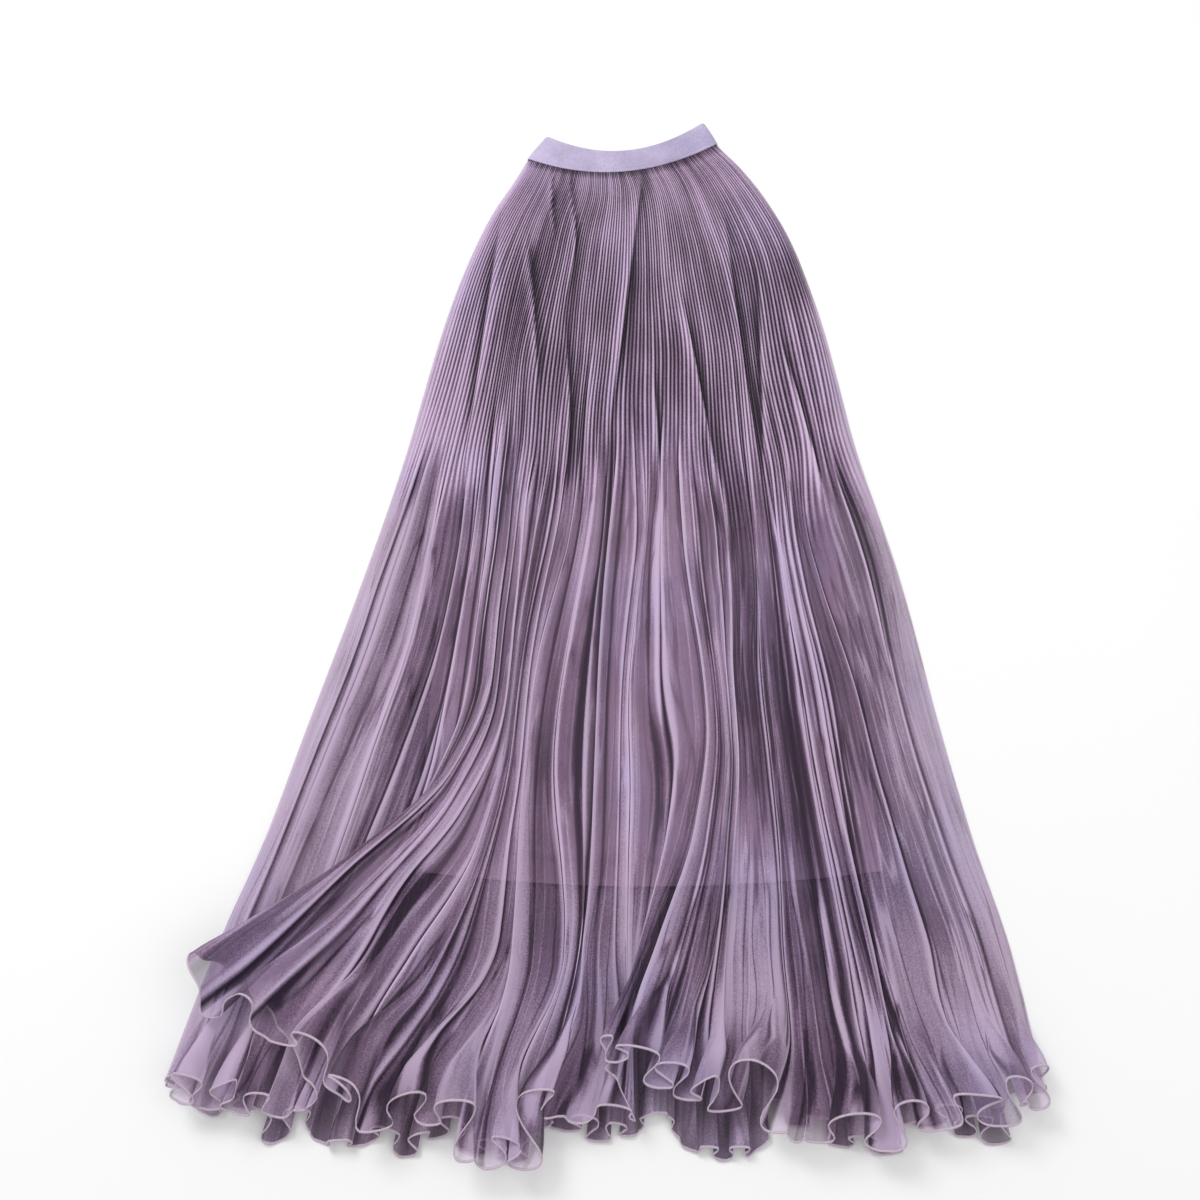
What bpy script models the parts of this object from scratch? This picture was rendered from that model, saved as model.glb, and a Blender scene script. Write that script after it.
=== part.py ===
"""Long pleated skirt of sheer mesh over a plain lining, laid flat on its back.

Metres, +Z up. X runs across the skirt, and Y runs from the hem up to the waist. The origin lies on the
flat underside, half way along the skirt. Lengths in the tables are millimetres, and MM turns them
into metres.

The cloth of each panel has its own coordinates: how far across it a point is, counted in pleats on
the front panel, and its run, the share of the way from the waist seam (0) to the hem (1).
"""

import math
from collections import namedtuple

import bmesh
import bpy
import numpy as np

MM = 0.001
COLLECTION = "pleated_skirt"

# Walls and the gap left between two pieces of cloth.
MESH_WALL = 1.3 * MM
LINING_WALL = 1.0 * MM
BAND_WALL = 1.3 * MM
GAP = 0.3 * MM

# The layers from the surface up: the underside of each wall.
LINING_BACK_Z = MESH_WALL + GAP
LINING_FRONT_Z = LINING_BACK_Z + LINING_WALL + GAP
FRONT_Z = LINING_FRONT_Z + LINING_WALL + 2 * GAP
SIDE_SEAM_Z = MESH_WALL + GAP

# Waistband: its lower edge is the waist seam, which dips between its two ends.
SEAM_LEFT = (-77 * MM, 459 * MM)
SEAM_RIGHT = (125 * MM, 480 * MM)
SEAM_DIP = 29 * MM
BAND_TOP_LEFT = (-59 * MM, 492 * MM)
BAND_TOP_RIGHT = (113 * MM, 512 * MM)
BAND_TOP_DIP = 32 * MM
BAND_THICKNESS = 6.2 * MM
BAND_COLUMNS = 24
BAND_ROWS = 3

# Front panel: fine accordion pleats, two straight half pleats to each one.
PLEATS = 90
PLEATED_RUN = 0.32
SIDE_PLEATS = 3

# The outline above the folds: run, left edge and right edge.
Width = namedtuple("Width", "run left right")
PLEATED_WIDTHS = (
    Width(0.00, -77, 125),
    Width(0.03, -89, 146),
    Width(0.08, -111, 172),
    Width(0.14, -130, 194),
    Width(0.20, -145, 208),
    Width(0.26, -157, 219),
    Width(0.32, -167, 227),
)

# The long folds of the front panel, from left to right. Each row is one ridge: the pleat it follows,
# its places in X at six runs (0.40, 0.55, 0.70, 0.80, 0.90 and the hem), its hem in Y, its half width
# in pleats, and its heights at run 0.70 and at the hem. A row of no height only steers the cloth.
Ridge = namedtuple("Ridge", "pleat x40 x55 x70 x80 x90 x100 hem_y half mid low")
RIDGE_RUNS = (0.40, 0.55, 0.70, 0.80, 0.90, 1.00)
RIDGES = (
    Ridge(0.0, -180, -211, -246, -269, -298, -322, -441, 1.0, 0.0, 0.0),
    Ridge(4.5, -158, -186, -222, -247, -272, -294, -455, 2.0, 4.0, 3.0),
    Ridge(9.0, -137, -152, -188, -214, -240, -264, -460, 2.2, 4.5, 2.0),
    Ridge(12.0, -122, -133, -158, -184, -212, -238, -462, 1.8, 4.0, 0.0),
    Ridge(15.5, -106, -114, -124, -148, -176, -204, -448, 1.0, 0.0, 0.0),
    Ridge(18.0, -95, -101, -110, -138, -190, -252, -392, 1.0, 0.0, 0.0),
    Ridge(21.0, -84, -88, -94, -124, -206, -304, -366, 1.0, 0.0, 0.0),
    Ridge(25.5, -68, -76, -84, -114, -178, -250, -404, 2.0, 4.0, 4.0),
    Ridge(29.0, -54, -64, -76, -98, -150, -198, -440, 1.8, 3.5, 5.0),
    Ridge(32.5, -42, -56, -68, -88, -117, -164, -474, 1.8, 5.0, 6.0),
    Ridge(35.5, -32, -48, -60, -72, -88, -126, -472, 1.6, 3.0, 3.0),
    Ridge(39.0, -18, -36, -50, -56, -66, -84, -492, 2.0, 6.0, 7.0),
    Ridge(42.5, -4, -16, -24, -28, -40, -58, -496, 1.9, 5.0, 6.0),
    Ridge(46.0, 16, 8, 4, 2, -8, -24, -464, 1.8, 4.0, 3.0),
    Ridge(50.0, 38, 34, 30, 24, 20, 14, -464, 1.6, 3.0, 0.0),
    Ridge(55.0, 64, 74, 84, 70, 38, 2, -420, 1.0, 0.0, 0.0),
    Ridge(59.0, 84, 92, 98, 88, 66, 40, -444, 1.8, 4.0, 5.0),
    Ridge(63.0, 102, 108, 112, 104, 92, 78, -458, 1.8, 5.0, 5.0),
    Ridge(67.0, 120, 124, 130, 132, 126, 114, -466, 1.9, 4.5, 6.0),
    Ridge(71.0, 139, 144, 152, 158, 162, 164, -482, 1.8, 5.0, 5.0),
    Ridge(75.0, 158, 168, 180, 190, 200, 208, -484, 1.9, 4.5, 6.0),
    Ridge(79.0, 178, 192, 208, 220, 234, 246, -470, 1.8, 5.0, 6.0),
    Ridge(83.0, 199, 218, 236, 250, 268, 282, -466, 1.8, 4.0, 5.0),
    Ridge(86.5, 218, 243, 262, 278, 298, 312, -456, 1.2, 3.0, 3.0),
    Ridge(90.0, 237, 265, 284, 299, 318, 328, -442, 1.0, 0.0, 0.0),
)

# Two swept folds whose crests lie over their left-hand neighbours: the pleat where the cloth turns
# under, the crest's pleat, how many pleats it takes to sink again on the right, the runs where the
# fold starts to rise and where it has risen, and the height of its crest.
Sweep = namedtuple("Sweep", "turn crest fade start risen height")
SWEEPS = (
    Sweep(14.0, 21.5, 14.0, 0.36, 0.68, 16.0),
    Sweep(49.0, 55.5, 10.0, 0.40, 0.68, 14.0),
)

# Ruffle flutes of the lettuce hem, from left to right: the pleat at the crest, the width in pleats,
# and in mm the height, how far the crest is drawn back towards the waist, how far its lip swells
# past its neck, and how far it leans to the right.
Flute = namedtuple("Flute", "pleat width height rake swell lean")
FRONT_FLUTES = (
    Flute(4.8, 4.0, 6, 10, 1.5, -2),
    Flute(10.0, 4.4, 5, 10, 1.5, 2),
    Flute(21.2, 3.4, 4, 16, 1.5, 4),
    Flute(24.8, 3.4, 7, 14, 2.5, 3),
    Flute(28.0, 3.4, 10, 16, 3.0, 3),
    Flute(31.2, 3.4, 12, 26, 3.0, -4),
    Flute(33.9, 3.0, 8, 22, 3.0, 3),
    Flute(36.4, 3.2, 14, 22, 3.0, 4),
    Flute(40.9, 3.2, 9, 14, 2.5, 2),
    Flute(44.4, 3.8, 14, 28, 4.0, -3),
    Flute(57.9, 3.0, 12, 14, 2.5, 3),
    Flute(60.6, 3.2, 13, 18, 2.0, -2),
    Flute(63.0, 3.2, 10, 16, 3.0, 3),
    Flute(66.9, 4.2, 18, 32, 4.5, -2),
    Flute(72.5, 4.2, 13, 20, 4.5, 4),
    Flute(76.3, 4.0, 14, 24, 4.5, -3),
    Flute(80.6, 4.4, 12, 20, 4.0, 4),
    Flute(84.4, 3.6, 9, 14, 3.0, -3),
)
FLUTE_RUN = 0.12

# How far the ruffles of the back panel prop up the front panel's hem.
HEM_PROP = 8.0 * MM
HEM_PROP_RUN = 0.80

# Accordion pleats of the front panel: crest heights along the run.
Crisp = namedtuple("Crisp", "run height")
PLEAT_HEIGHTS = (
    Crisp(0.00, 0.6),
    Crisp(0.06, 1.2),
    Crisp(0.20, 1.7),
    Crisp(0.32, 1.6),
    Crisp(0.45, 0.9),
    Crisp(0.75, 0.7),
    Crisp(1.00, 0.2),
)

# Rows of the front panel's wall, closer at the hip curve and towards the hem.
FRONT_RUNS = (0, 0.03, 0.08, 0.14, 0.22, 0.32, 0.44, 0.56, 0.66, 0.72, 0.78, 0.85, 0.91, 0.96, 1.0)

# Back panel: its hem as places in X and Y, and the flutes of its hem (X of the crest, width, height,
# and how far the crest is drawn back). Its flutes run out from under the front panel.
Corner = namedtuple("Corner", "x y")
BACK_HEM = (
    Corner(-323, -436),
    Corner(-300, -448),
    Corner(-284, -462),
    Corner(-262, -456),
    Corner(-240, -480),
    Corner(-222, -466),
    Corner(-190, -488),
    Corner(-166, -478),
    Corner(-142, -488),
    Corner(-114, -474),
    Corner(-86, -490),
    Corner(-58, -492),
    Corner(-32, -470),
    Corner(-8, -478),
    Corner(14, -476),
    Corner(44, -466),
    Corner(70, -488),
    Corner(104, -491),
    Corner(126, -464),
    Corner(160, -476),
    Corner(192, -487),
    Corner(216, -485),
    Corner(242, -468),
    Corner(266, -476),
    Corner(288, -480),
    Corner(304, -452),
    Corner(329, -440),
)
BackFlute = namedtuple("BackFlute", "x width height rake")
BACK_FLUTES = (
    BackFlute(-262, 44, 5.0, 10),
    BackFlute(-216, 40, 6.0, 14),
    BackFlute(-172, 40, 6.5, 12),
    BackFlute(-128, 42, 6.5, 14),
    BackFlute(-82, 42, 6.5, 12),
    BackFlute(-38, 40, 6.5, 14),
    BackFlute(6, 42, 6.5, 14),
    BackFlute(48, 38, 6.5, 10),
    BackFlute(88, 38, 6.5, 14),
    BackFlute(130, 40, 6.5, 12),
    BackFlute(174, 42, 6.5, 12),
    BackFlute(218, 40, 6.0, 14),
    BackFlute(262, 42, 5.0, 10),
)
BACK_COLUMNS = 96
BACK_RUNS = (0, 0.03, 0.08, 0.14, 0.22, 0.32, 0.45, 0.6, 0.75, 0.9, 0.94, 0.97, 1.0)
BACK_FLUTE_RUN = 0.07

# Lining: how far it stays inside the sheer panels at the seam, and its own outline further down.
Side = namedtuple("Side", "down left right")
LINING_SIDES = (
    Side(0, -64, 112),
    Side(60, -86, 140),
    Side(170, -116, 176),
    Side(350, -134, 202),
    Side(560, -142, 216),
    Side(742, -146, 224),
)
LINING_HEM_Y = -296 * MM
LINING_HEM_RISE = 12 * MM
LINING_COLUMNS = 20
LINING_ROWS = 12

Finish = namedtuple("Finish", "red green blue roughness")
MESH_FINISH = Finish(0.28, 0.20, 0.28, 0.75)
LINING_FINISH = Finish(0.32, 0.21, 0.31, 0.60)
BAND_FINISH = Finish(0.46, 0.40, 0.58, 0.45)


def smooth_lookup(xs, ys, at):
    """Monotone cubic through points in rising xs, held flat past both ends."""
    xs = np.asarray(xs, float)
    ys = np.asarray(ys, float)
    steps = np.diff(xs)
    slopes = np.diff(ys) / steps
    tangents = np.zeros(len(xs))
    same_way = slopes[:-1] * slopes[1:] > 0
    tangents[1:-1][same_way] = 2 / (1 / slopes[:-1][same_way] + 1 / slopes[1:][same_way])
    tangents[0], tangents[-1] = slopes[0], slopes[-1]
    at = min(max(at, xs[0]), xs[-1])
    i = min(max(int(np.searchsorted(xs, at, side="right")) - 1, 0), len(steps) - 1)
    t = (at - xs[i]) / steps[i]
    return float(
        ys[i] * (1 + 2 * t) * (1 - t) ** 2
        + tangents[i] * steps[i] * t * (1 - t) ** 2
        + ys[i + 1] * t * t * (3 - 2 * t)
        - tangents[i + 1] * steps[i] * t * t * (1 - t)
    )


def ease(low, high, at):
    """0 before low, 1 after high, and a soft step between them."""
    t = min(max((at - low) / (high - low), 0), 1)
    return t * t * (3 - 2 * t)


def hill(t):
    """A soft hill over -1 to 1, level at both feet."""
    return (1 - t * t) ** 2 if abs(t) < 1 else 0.0


def mix(low, high, share):
    """The value at a share of the way from low to high."""
    return low + (high - low) * share


def dipped(left, right, dip, share):
    """A point at a share of a line from left to right that hangs down by dip in its middle."""
    return mix(left[0], right[0], share), mix(left[1], right[1], share) - 4 * dip * share * (1 - share)


def seam_y(x):
    """Place in Y of a panel's top edge, a gap below the waist seam, at a place in X."""
    share = (x - SEAM_LEFT[0]) / (SEAM_RIGHT[0] - SEAM_LEFT[0])
    return dipped(SEAM_LEFT, SEAM_RIGHT, SEAM_DIP, share)[1] - GAP


def ridge_column(name):
    """One column of the table of ridges."""
    return [getattr(ridge, name) for ridge in RIDGES]


def front_x(pleat, run):
    """Place in X of a pleat of the front panel.

    The pleats start evenly spaced at the waist and settle, by the first run of the table of ridges,
    into the uneven spacing that the table gives there.
    """
    pleats = ridge_column("pleat")
    stations = [smooth_lookup(pleats, ridge_column(name), pleat) for name in Ridge._fields[1:7]]
    first, last = RIDGES[0].x40, RIDGES[-1].x40
    settled = (stations[0] - first) / (last - first)
    upper = []
    for width in PLEATED_WIDTHS:
        share = mix(pleat / PLEATS, settled, ease(0, RIDGE_RUNS[0], width.run))
        upper.append(mix(width.left, width.right, share))
    runs = [width.run for width in PLEATED_WIDTHS] + list(RIDGE_RUNS)
    return smooth_lookup(runs, upper + stations, run) * MM


def front_y(pleat, run):
    """Place in Y of a pleat of the front panel, before its flutes."""
    top = seam_y(front_x(pleat, 0))
    hem = smooth_lookup(ridge_column("pleat"), ridge_column("hem_y"), pleat) * MM
    return mix(top, hem, run)


def side_share(pleat):
    """0 on the front panel's side seams and 1 inside them."""
    return ease(0, SIDE_PLEATS, min(pleat, PLEATS - pleat))


def pleat_height(pleat, run):
    """Height of the accordion pleats' zigzag."""
    crest = 1 - abs(2 * (pleat % 1.0) - 1)
    tallest = smooth_lookup([c.run for c in PLEAT_HEIGHTS], [c.height for c in PLEAT_HEIGHTS], run)
    return tallest * MM * crest


def ridge_height(pleat, run):
    """Height of the long folds."""
    total = 0.0
    for ridge in RIDGES:
        if abs(pleat - ridge.pleat) < ridge.half:
            tall = smooth_lookup((PLEATED_RUN - 0.1, 0.7, 1.0), (0, ridge.mid, ridge.low), run)
            total += tall * hill((pleat - ridge.pleat) / ridge.half)
    return total * MM


def sweep_height(pleat, run):
    """Height of the two swept folds, which rises steadily from each turn to its crest and past it."""
    total = 0.0
    for sweep in SWEEPS:
        grown = ease(sweep.start, sweep.risen, run) * sweep.height * MM
        rise = min(max((pleat - sweep.turn) / (sweep.crest - sweep.turn), 0), 1)
        total += grown * rise * (1 - ease(sweep.crest, sweep.crest + sweep.fade, pleat))
    return total


def flute_offset(pleat, run):
    """How far the hem's flutes move a point of the front panel in X, Y and Z."""
    dx = dy = dz = 0.0
    grown = ease(1 - FLUTE_RUN, 1.0, run)
    for flute in FRONT_FLUTES:
        across = (pleat - flute.pleat) / flute.width + 0.5
        if 0 < across < 1:
            lip = (1 - math.cos(2 * math.pi * across)) / 2
            dx += (flute.swell * math.sin(4 * math.pi * across) + flute.lean * lip) * grown
            dy += flute.rake * lip * grown
            dz += flute.height * lip * grown
    return dx * MM, dy * MM, dz * MM


def front_point(pleat, run):
    """A point on the middle of the front panel's wall."""
    inside = side_share(pleat)
    dx, dy, dz = flute_offset(pleat, run)
    prop = HEM_PROP * ease(HEM_PROP_RUN, 1.0, run)
    low = mix(SIDE_SEAM_Z, FRONT_Z + prop, inside) + MESH_WALL / 2
    relief = pleat_height(pleat, run) * mix(0.2, 1, inside) + ridge_height(pleat, run)
    return (
        front_x(pleat, run) + dx,
        front_y(pleat, run) + dy,
        low + relief + sweep_height(pleat, run) + dz,
    )


def back_edge(side, run):
    """Place in X of the back panel's left (-1) or right (1) edge, under the front panel's."""
    return front_x(0 if side < 0 else PLEATS, run)


def back_point(share, run):
    """A point on the underside of the back panel."""
    x = mix(back_edge(-1, run), back_edge(1, run), share)
    hem_x = mix(back_edge(-1, 1), back_edge(1, 1), share) / MM
    hem = smooth_lookup([c.x for c in BACK_HEM], [c.y for c in BACK_HEM], hem_x) * MM
    y = mix(seam_y(mix(SEAM_LEFT[0], SEAM_RIGHT[0], share)), hem, run)
    z = 0.0
    grown = ease(1 - BACK_FLUTE_RUN, 1.0, run)
    for flute in BACK_FLUTES:
        lip = hill((hem_x - flute.x) * 2 / flute.width) * grown
        y += flute.rake * MM * lip
        z += flute.height * MM * lip
    return x, y, z


def lining_point(share, run, underside):
    """A point on the underside of one lining panel."""
    down = [side.down for side in LINING_SIDES]
    top = seam_y(mix(LINING_SIDES[0].left, LINING_SIDES[0].right, share) * MM)
    hem = LINING_HEM_Y + LINING_HEM_RISE * (2 * share - 1) ** 2
    along = run * down[-1]
    left = smooth_lookup(down, [side.left for side in LINING_SIDES], along) * MM
    right = smooth_lookup(down, [side.right for side in LINING_SIDES], along) * MM
    return mix(left, right, share), mix(top, hem, run), underside


def stadium(turn, half_length, half_height):
    """A point at a turn (0 to 1) round a flat loop with round ends, from the left end of its top."""
    straight = 2 * (half_length - half_height)
    round_end = math.pi * half_height
    along = turn * 2 * (straight + round_end)
    core = half_length - half_height
    if along < straight:
        return -core + along, half_height
    if along < straight + round_end:
        angle = math.pi / 2 - (along - straight) / half_height
        return core + half_height * math.cos(angle), half_height * math.sin(angle)
    if along < 2 * straight + round_end:
        return core - (along - straight - round_end), -half_height
    angle = -math.pi / 2 - (along - 2 * straight - round_end) / half_height
    return -core + half_height * math.cos(angle), half_height * math.sin(angle)


def band_point(turn, height):
    """A point on the outside of the waistband at a turn round it and a share of its height."""
    left = [mix(a, b, height) for a, b in zip(SEAM_LEFT, BAND_TOP_LEFT)]
    right = [mix(a, b, height) for a, b in zip(SEAM_RIGHT, BAND_TOP_RIGHT)]
    half = (right[0] - left[0]) / 2
    x, z = stadium(turn, half, BAND_THICKNESS / 2)
    share = (x + half) / (2 * half)
    x_at, y_at = dipped(left, right, mix(SEAM_DIP, BAND_TOP_DIP, height), share)
    return x_at, y_at, z + BAND_THICKNESS / 2


def make_material(name, finish):
    """A plain cloth finish."""
    material = bpy.data.materials.new(name)
    material.use_nodes = True
    shader = material.node_tree.nodes["Principled BSDF"]
    shader.inputs["Base Color"].default_value = (finish.red, finish.green, finish.blue, 1)
    shader.inputs["Roughness"].default_value = finish.roughness
    shader.inputs["Metallic"].default_value = 0
    return material


def make_sheet(name, columns, rows, place, finish, collection):
    """An open grid of cloth, columns across by rows down, whose points place(column, row) gives."""
    mesh = bpy.data.meshes.new(name)
    grid = bmesh.new()
    bmesh.ops.create_grid(grid, x_segments=columns, y_segments=rows, size=0.5)
    for vert in grid.verts:
        column = round((vert.co.x + 0.5) * columns)
        row = round((0.5 - vert.co.y) * rows)
        vert.co = place(column, row)
    bmesh.ops.triangulate(grid, faces=grid.faces, quad_method="BEAUTY")
    grid.to_mesh(mesh)
    grid.free()
    mesh.materials.append(make_material(name, finish))
    mesh.shade_smooth()
    mesh.set_sharp_from_angle(angle=math.radians(40))
    sheet = bpy.data.objects.new(name, mesh)
    collection.objects.link(sheet)
    return sheet


def give_wall(sheet, thickness, offset):
    """Turn a sheet into a wall; offset 1 puts it on the upper side, and 0 half on each side."""
    wall = sheet.modifiers.new("Wall", "SOLIDIFY")
    wall.thickness = thickness
    wall.offset = offset
    wall.use_quality_normals = True


def make_outer_front(collection):
    """Sheer front panel with its pleats, folds and ruffled hem."""
    sheet = make_sheet(
        "outer_front",
        2 * PLEATS,
        len(FRONT_RUNS) - 1,
        lambda column, row: front_point(column / 2, FRONT_RUNS[row]),
        MESH_FINISH,
        collection,
    )
    give_wall(sheet, MESH_WALL, 0)


def make_outer_back(collection):
    """Sheer back panel: flat underneath, with a ruffled hem."""
    sheet = make_sheet(
        "outer_back",
        BACK_COLUMNS,
        len(BACK_RUNS) - 1,
        lambda column, row: back_point(column / BACK_COLUMNS, BACK_RUNS[row]),
        MESH_FINISH,
        collection,
    )
    give_wall(sheet, MESH_WALL, 1)


def make_lining(name, underside, collection):
    """One plain lining panel."""
    sheet = make_sheet(
        name,
        LINING_COLUMNS,
        LINING_ROWS,
        lambda column, row: lining_point(column / LINING_COLUMNS, row / LINING_ROWS, underside),
        LINING_FINISH,
        collection,
    )
    give_wall(sheet, LINING_WALL, 1)


def make_waistband(collection):
    """Elastic waistband: a tube of band pressed flat."""
    columns = 2 * BAND_COLUMNS
    sheet = make_sheet(
        "waistband",
        columns,
        BAND_ROWS,
        lambda column, row: band_point(column / columns, 1 - row / BAND_ROWS),
        BAND_FINISH,
        collection,
    )
    tube = bmesh.new()
    tube.from_mesh(sheet.data)
    bmesh.ops.remove_doubles(tube, verts=tube.verts, dist=0.01 * MM)
    bmesh.ops.recalc_face_normals(tube, faces=tube.faces)
    tube.to_mesh(sheet.data)
    tube.free()
    give_wall(sheet, BAND_WALL, -1)


def main():
    """Build the skirt's five pieces."""
    for old in list(bpy.data.objects):
        bpy.data.objects.remove(old, do_unlink=True)
    collection = bpy.data.collections.new(COLLECTION)
    bpy.context.scene.collection.children.link(collection)
    make_outer_back(collection)
    make_lining("lining_back", LINING_BACK_Z, collection)
    make_lining("lining_front", LINING_FRONT_Z, collection)
    make_outer_front(collection)
    make_waistband(collection)


main()
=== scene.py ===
"""Looks of a long pleated skirt of sheer mesh, laid flat on its back.

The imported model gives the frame: X runs across the skirt, Y from the hem up to the waist, and Z up from
the surface. Every cloth piece here is a thin sheet that lies on its solid's form, with finer pleats,
folds and hem curls. Lengths in the tables are millimetres, and MM turns them into metres.
"""

import logging
import math
from dataclasses import dataclass, field
from enum import Enum
from typing import NamedTuple

import bmesh
import bpy
import numpy as np
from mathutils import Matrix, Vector


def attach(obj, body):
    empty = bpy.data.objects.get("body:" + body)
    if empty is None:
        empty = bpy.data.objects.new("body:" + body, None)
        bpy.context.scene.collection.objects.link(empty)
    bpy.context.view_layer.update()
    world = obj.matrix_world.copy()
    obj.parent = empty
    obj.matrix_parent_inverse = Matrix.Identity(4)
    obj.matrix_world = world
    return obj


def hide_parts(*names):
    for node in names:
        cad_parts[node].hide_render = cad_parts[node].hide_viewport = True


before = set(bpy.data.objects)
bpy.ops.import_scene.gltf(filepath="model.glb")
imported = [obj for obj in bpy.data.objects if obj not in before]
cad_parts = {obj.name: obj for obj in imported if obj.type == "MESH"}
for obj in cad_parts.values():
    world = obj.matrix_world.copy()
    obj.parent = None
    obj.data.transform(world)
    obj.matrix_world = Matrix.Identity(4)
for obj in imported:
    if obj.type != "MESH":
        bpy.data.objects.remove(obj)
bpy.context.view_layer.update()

MM = 0.001
BODY = "root"
log = logging.getLogger("skirt")


class Slot(Enum):
    """The record's material slots."""

    MESH = "sheer_mesh"
    LINING = "lining"
    BAND = "waistband"


class Side(Enum):
    """The two faces of the skirt as it lies."""

    FRONT = "front"
    BACK = "back"


class Width(NamedTuple):
    """Outline of the pleated zone at one run."""

    run: float
    left: float
    right: float


class Ridge(NamedTuple):
    """One long fold: where it runs, its hem, its half width in pleats and its heights."""

    pleat: float
    x40: float
    x55: float
    x70: float
    x80: float
    x90: float
    x100: float
    hem_y: float
    half: float
    mid: float
    low: float


class Sweep(NamedTuple):
    """One swept fold that lies over its left-hand neighbours."""

    turn: float
    crest: float
    fade: float
    start: float
    risen: float
    height: float


class Flute(NamedTuple):
    """One ruffle of the hem: pleat at its crest, width in pleats, and how it stands and leans."""

    pleat: float
    width: float
    height: float
    rake: float
    swell: float
    lean: float


class Crease(NamedTuple):
    """A crease among the pleats: places in X at three runs, its height, width and dark side, where it drops
    and its shade is painted.
    """

    start: float
    x_start: float
    middle: float
    x_middle: float
    end: float
    x_end: float
    height: float
    width: float
    dark: int


class Crisp(NamedTuple):
    """Height of the accordion pleats at one run."""

    run: float
    height: float


class Corner(NamedTuple):
    """A place on the back panel's hem."""

    x: float
    y: float


class Crinkle(NamedTuple):
    """Noise drawn out along the cloth: how fine it is each way, its offset and tone, and its lines' width."""

    across: float
    down: float
    offset: float
    weight: float
    line: float


class Lamp(NamedTuple):
    """A square soft light: its place, its size in metres and its power in watts."""

    name: str
    place: tuple[float, float, float]
    size: float
    power: float


# Every place across the front is counted in these pleats, from its left side to its right
PLEATS = 90
# Accordion pleats that show over that width
FINE_PLEATS = 120
# Runs go from 0 at the waist seam to 1 at the hem. These are the table's places for the long folds
RIDGE_RUNS = (0.40, 0.55, 0.70, 0.80, 0.90, 1.00)
# Where a long fold starts, is part risen, has its middle height and ends
FOLD_RUNS = (0.22, 0.45, 0.70, 1.00)
# The waist seam and the band's top edge: ends in X and Y, and dip in the middle
SEAM_LEFT = (-77 * MM, 459 * MM)
SEAM_RIGHT = (125 * MM, 480 * MM)
SEAM_DIP = 29 * MM
BAND_TOP_LEFT = (-59 * MM, 492 * MM)
BAND_TOP_RIGHT = (113 * MM, 512 * MM)
BAND_TOP_DIP = 32 * MM
# How far below the seam line both sheer panels start
UNDER_BAND = 0.3 * MM

PLEATED_WIDTHS = (
    Width(0.00, -77, 125),
    Width(0.03, -89, 146),
    Width(0.08, -111, 172),
    Width(0.14, -130, 194),
    Width(0.20, -145, 208),
    Width(0.26, -157, 219),
    Width(0.32, -167, 227),
)

RIDGES = (
    Ridge(0.0, -180, -211, -246, -269, -298, -322, -441, 1.0, 0.0, 0.0),
    Ridge(4.5, -158, -186, -222, -247, -272, -294, -455, 2.0, 4.0, 3.0),
    Ridge(9.0, -137, -152, -188, -214, -240, -264, -460, 2.2, 4.5, 2.0),
    Ridge(12.0, -122, -133, -158, -184, -212, -238, -462, 1.8, 4.0, 0.0),
    Ridge(15.5, -106, -114, -124, -148, -176, -204, -448, 1.0, 0.0, 0.0),
    Ridge(18.0, -95, -101, -110, -138, -190, -252, -392, 1.0, 0.0, 0.0),
    Ridge(21.0, -84, -88, -94, -124, -206, -304, -366, 1.0, 0.0, 0.0),
    Ridge(25.5, -68, -76, -84, -114, -178, -250, -404, 2.0, 4.0, 4.0),
    Ridge(29.0, -54, -64, -76, -98, -150, -198, -440, 1.8, 3.5, 5.0),
    Ridge(32.5, -42, -56, -68, -88, -117, -164, -474, 1.8, 5.0, 6.0),
    Ridge(35.5, -32, -48, -60, -72, -88, -126, -472, 1.6, 3.0, 3.0),
    Ridge(39.0, -18, -36, -50, -56, -66, -84, -492, 2.0, 6.0, 7.0),
    Ridge(42.5, -4, -16, -24, -28, -40, -58, -496, 1.9, 5.0, 6.0),
    Ridge(46.0, 16, 8, 4, 2, -8, -24, -464, 1.8, 4.0, 3.0),
    Ridge(50.0, 38, 34, 30, 24, 22, 26, -464, 1.6, 3.0, 0.0),
    Ridge(55.0, 64, 74, 84, 70, 38, 2, -420, 1.0, 0.0, 0.0),
    Ridge(59.0, 84, 92, 98, 88, 66, 40, -444, 1.8, 4.0, 5.0),
    Ridge(63.0, 102, 108, 112, 104, 92, 78, -458, 1.8, 5.0, 5.0),
    Ridge(67.0, 120, 124, 130, 132, 126, 114, -466, 1.9, 4.5, 6.0),
    Ridge(71.0, 139, 144, 152, 158, 162, 164, -482, 1.8, 5.0, 5.0),
    Ridge(75.0, 158, 168, 180, 190, 200, 208, -484, 1.9, 4.5, 6.0),
    Ridge(79.0, 178, 192, 208, 220, 234, 246, -470, 1.8, 5.0, 6.0),
    Ridge(83.0, 199, 218, 236, 250, 268, 282, -466, 1.8, 4.0, 5.0),
    Ridge(86.5, 218, 243, 262, 278, 298, 312, -456, 1.2, 3.0, 3.0),
    Ridge(90.0, 237, 265, 284, 299, 318, 328, -442, 1.0, 0.0, 0.0),
)

SWEEPS = (
    Sweep(14.0, 21.5, 14.0, 0.36, 0.68, 16.0),
    Sweep(49.0, 55.5, 10.0, 0.40, 0.68, 14.0),
)

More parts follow.
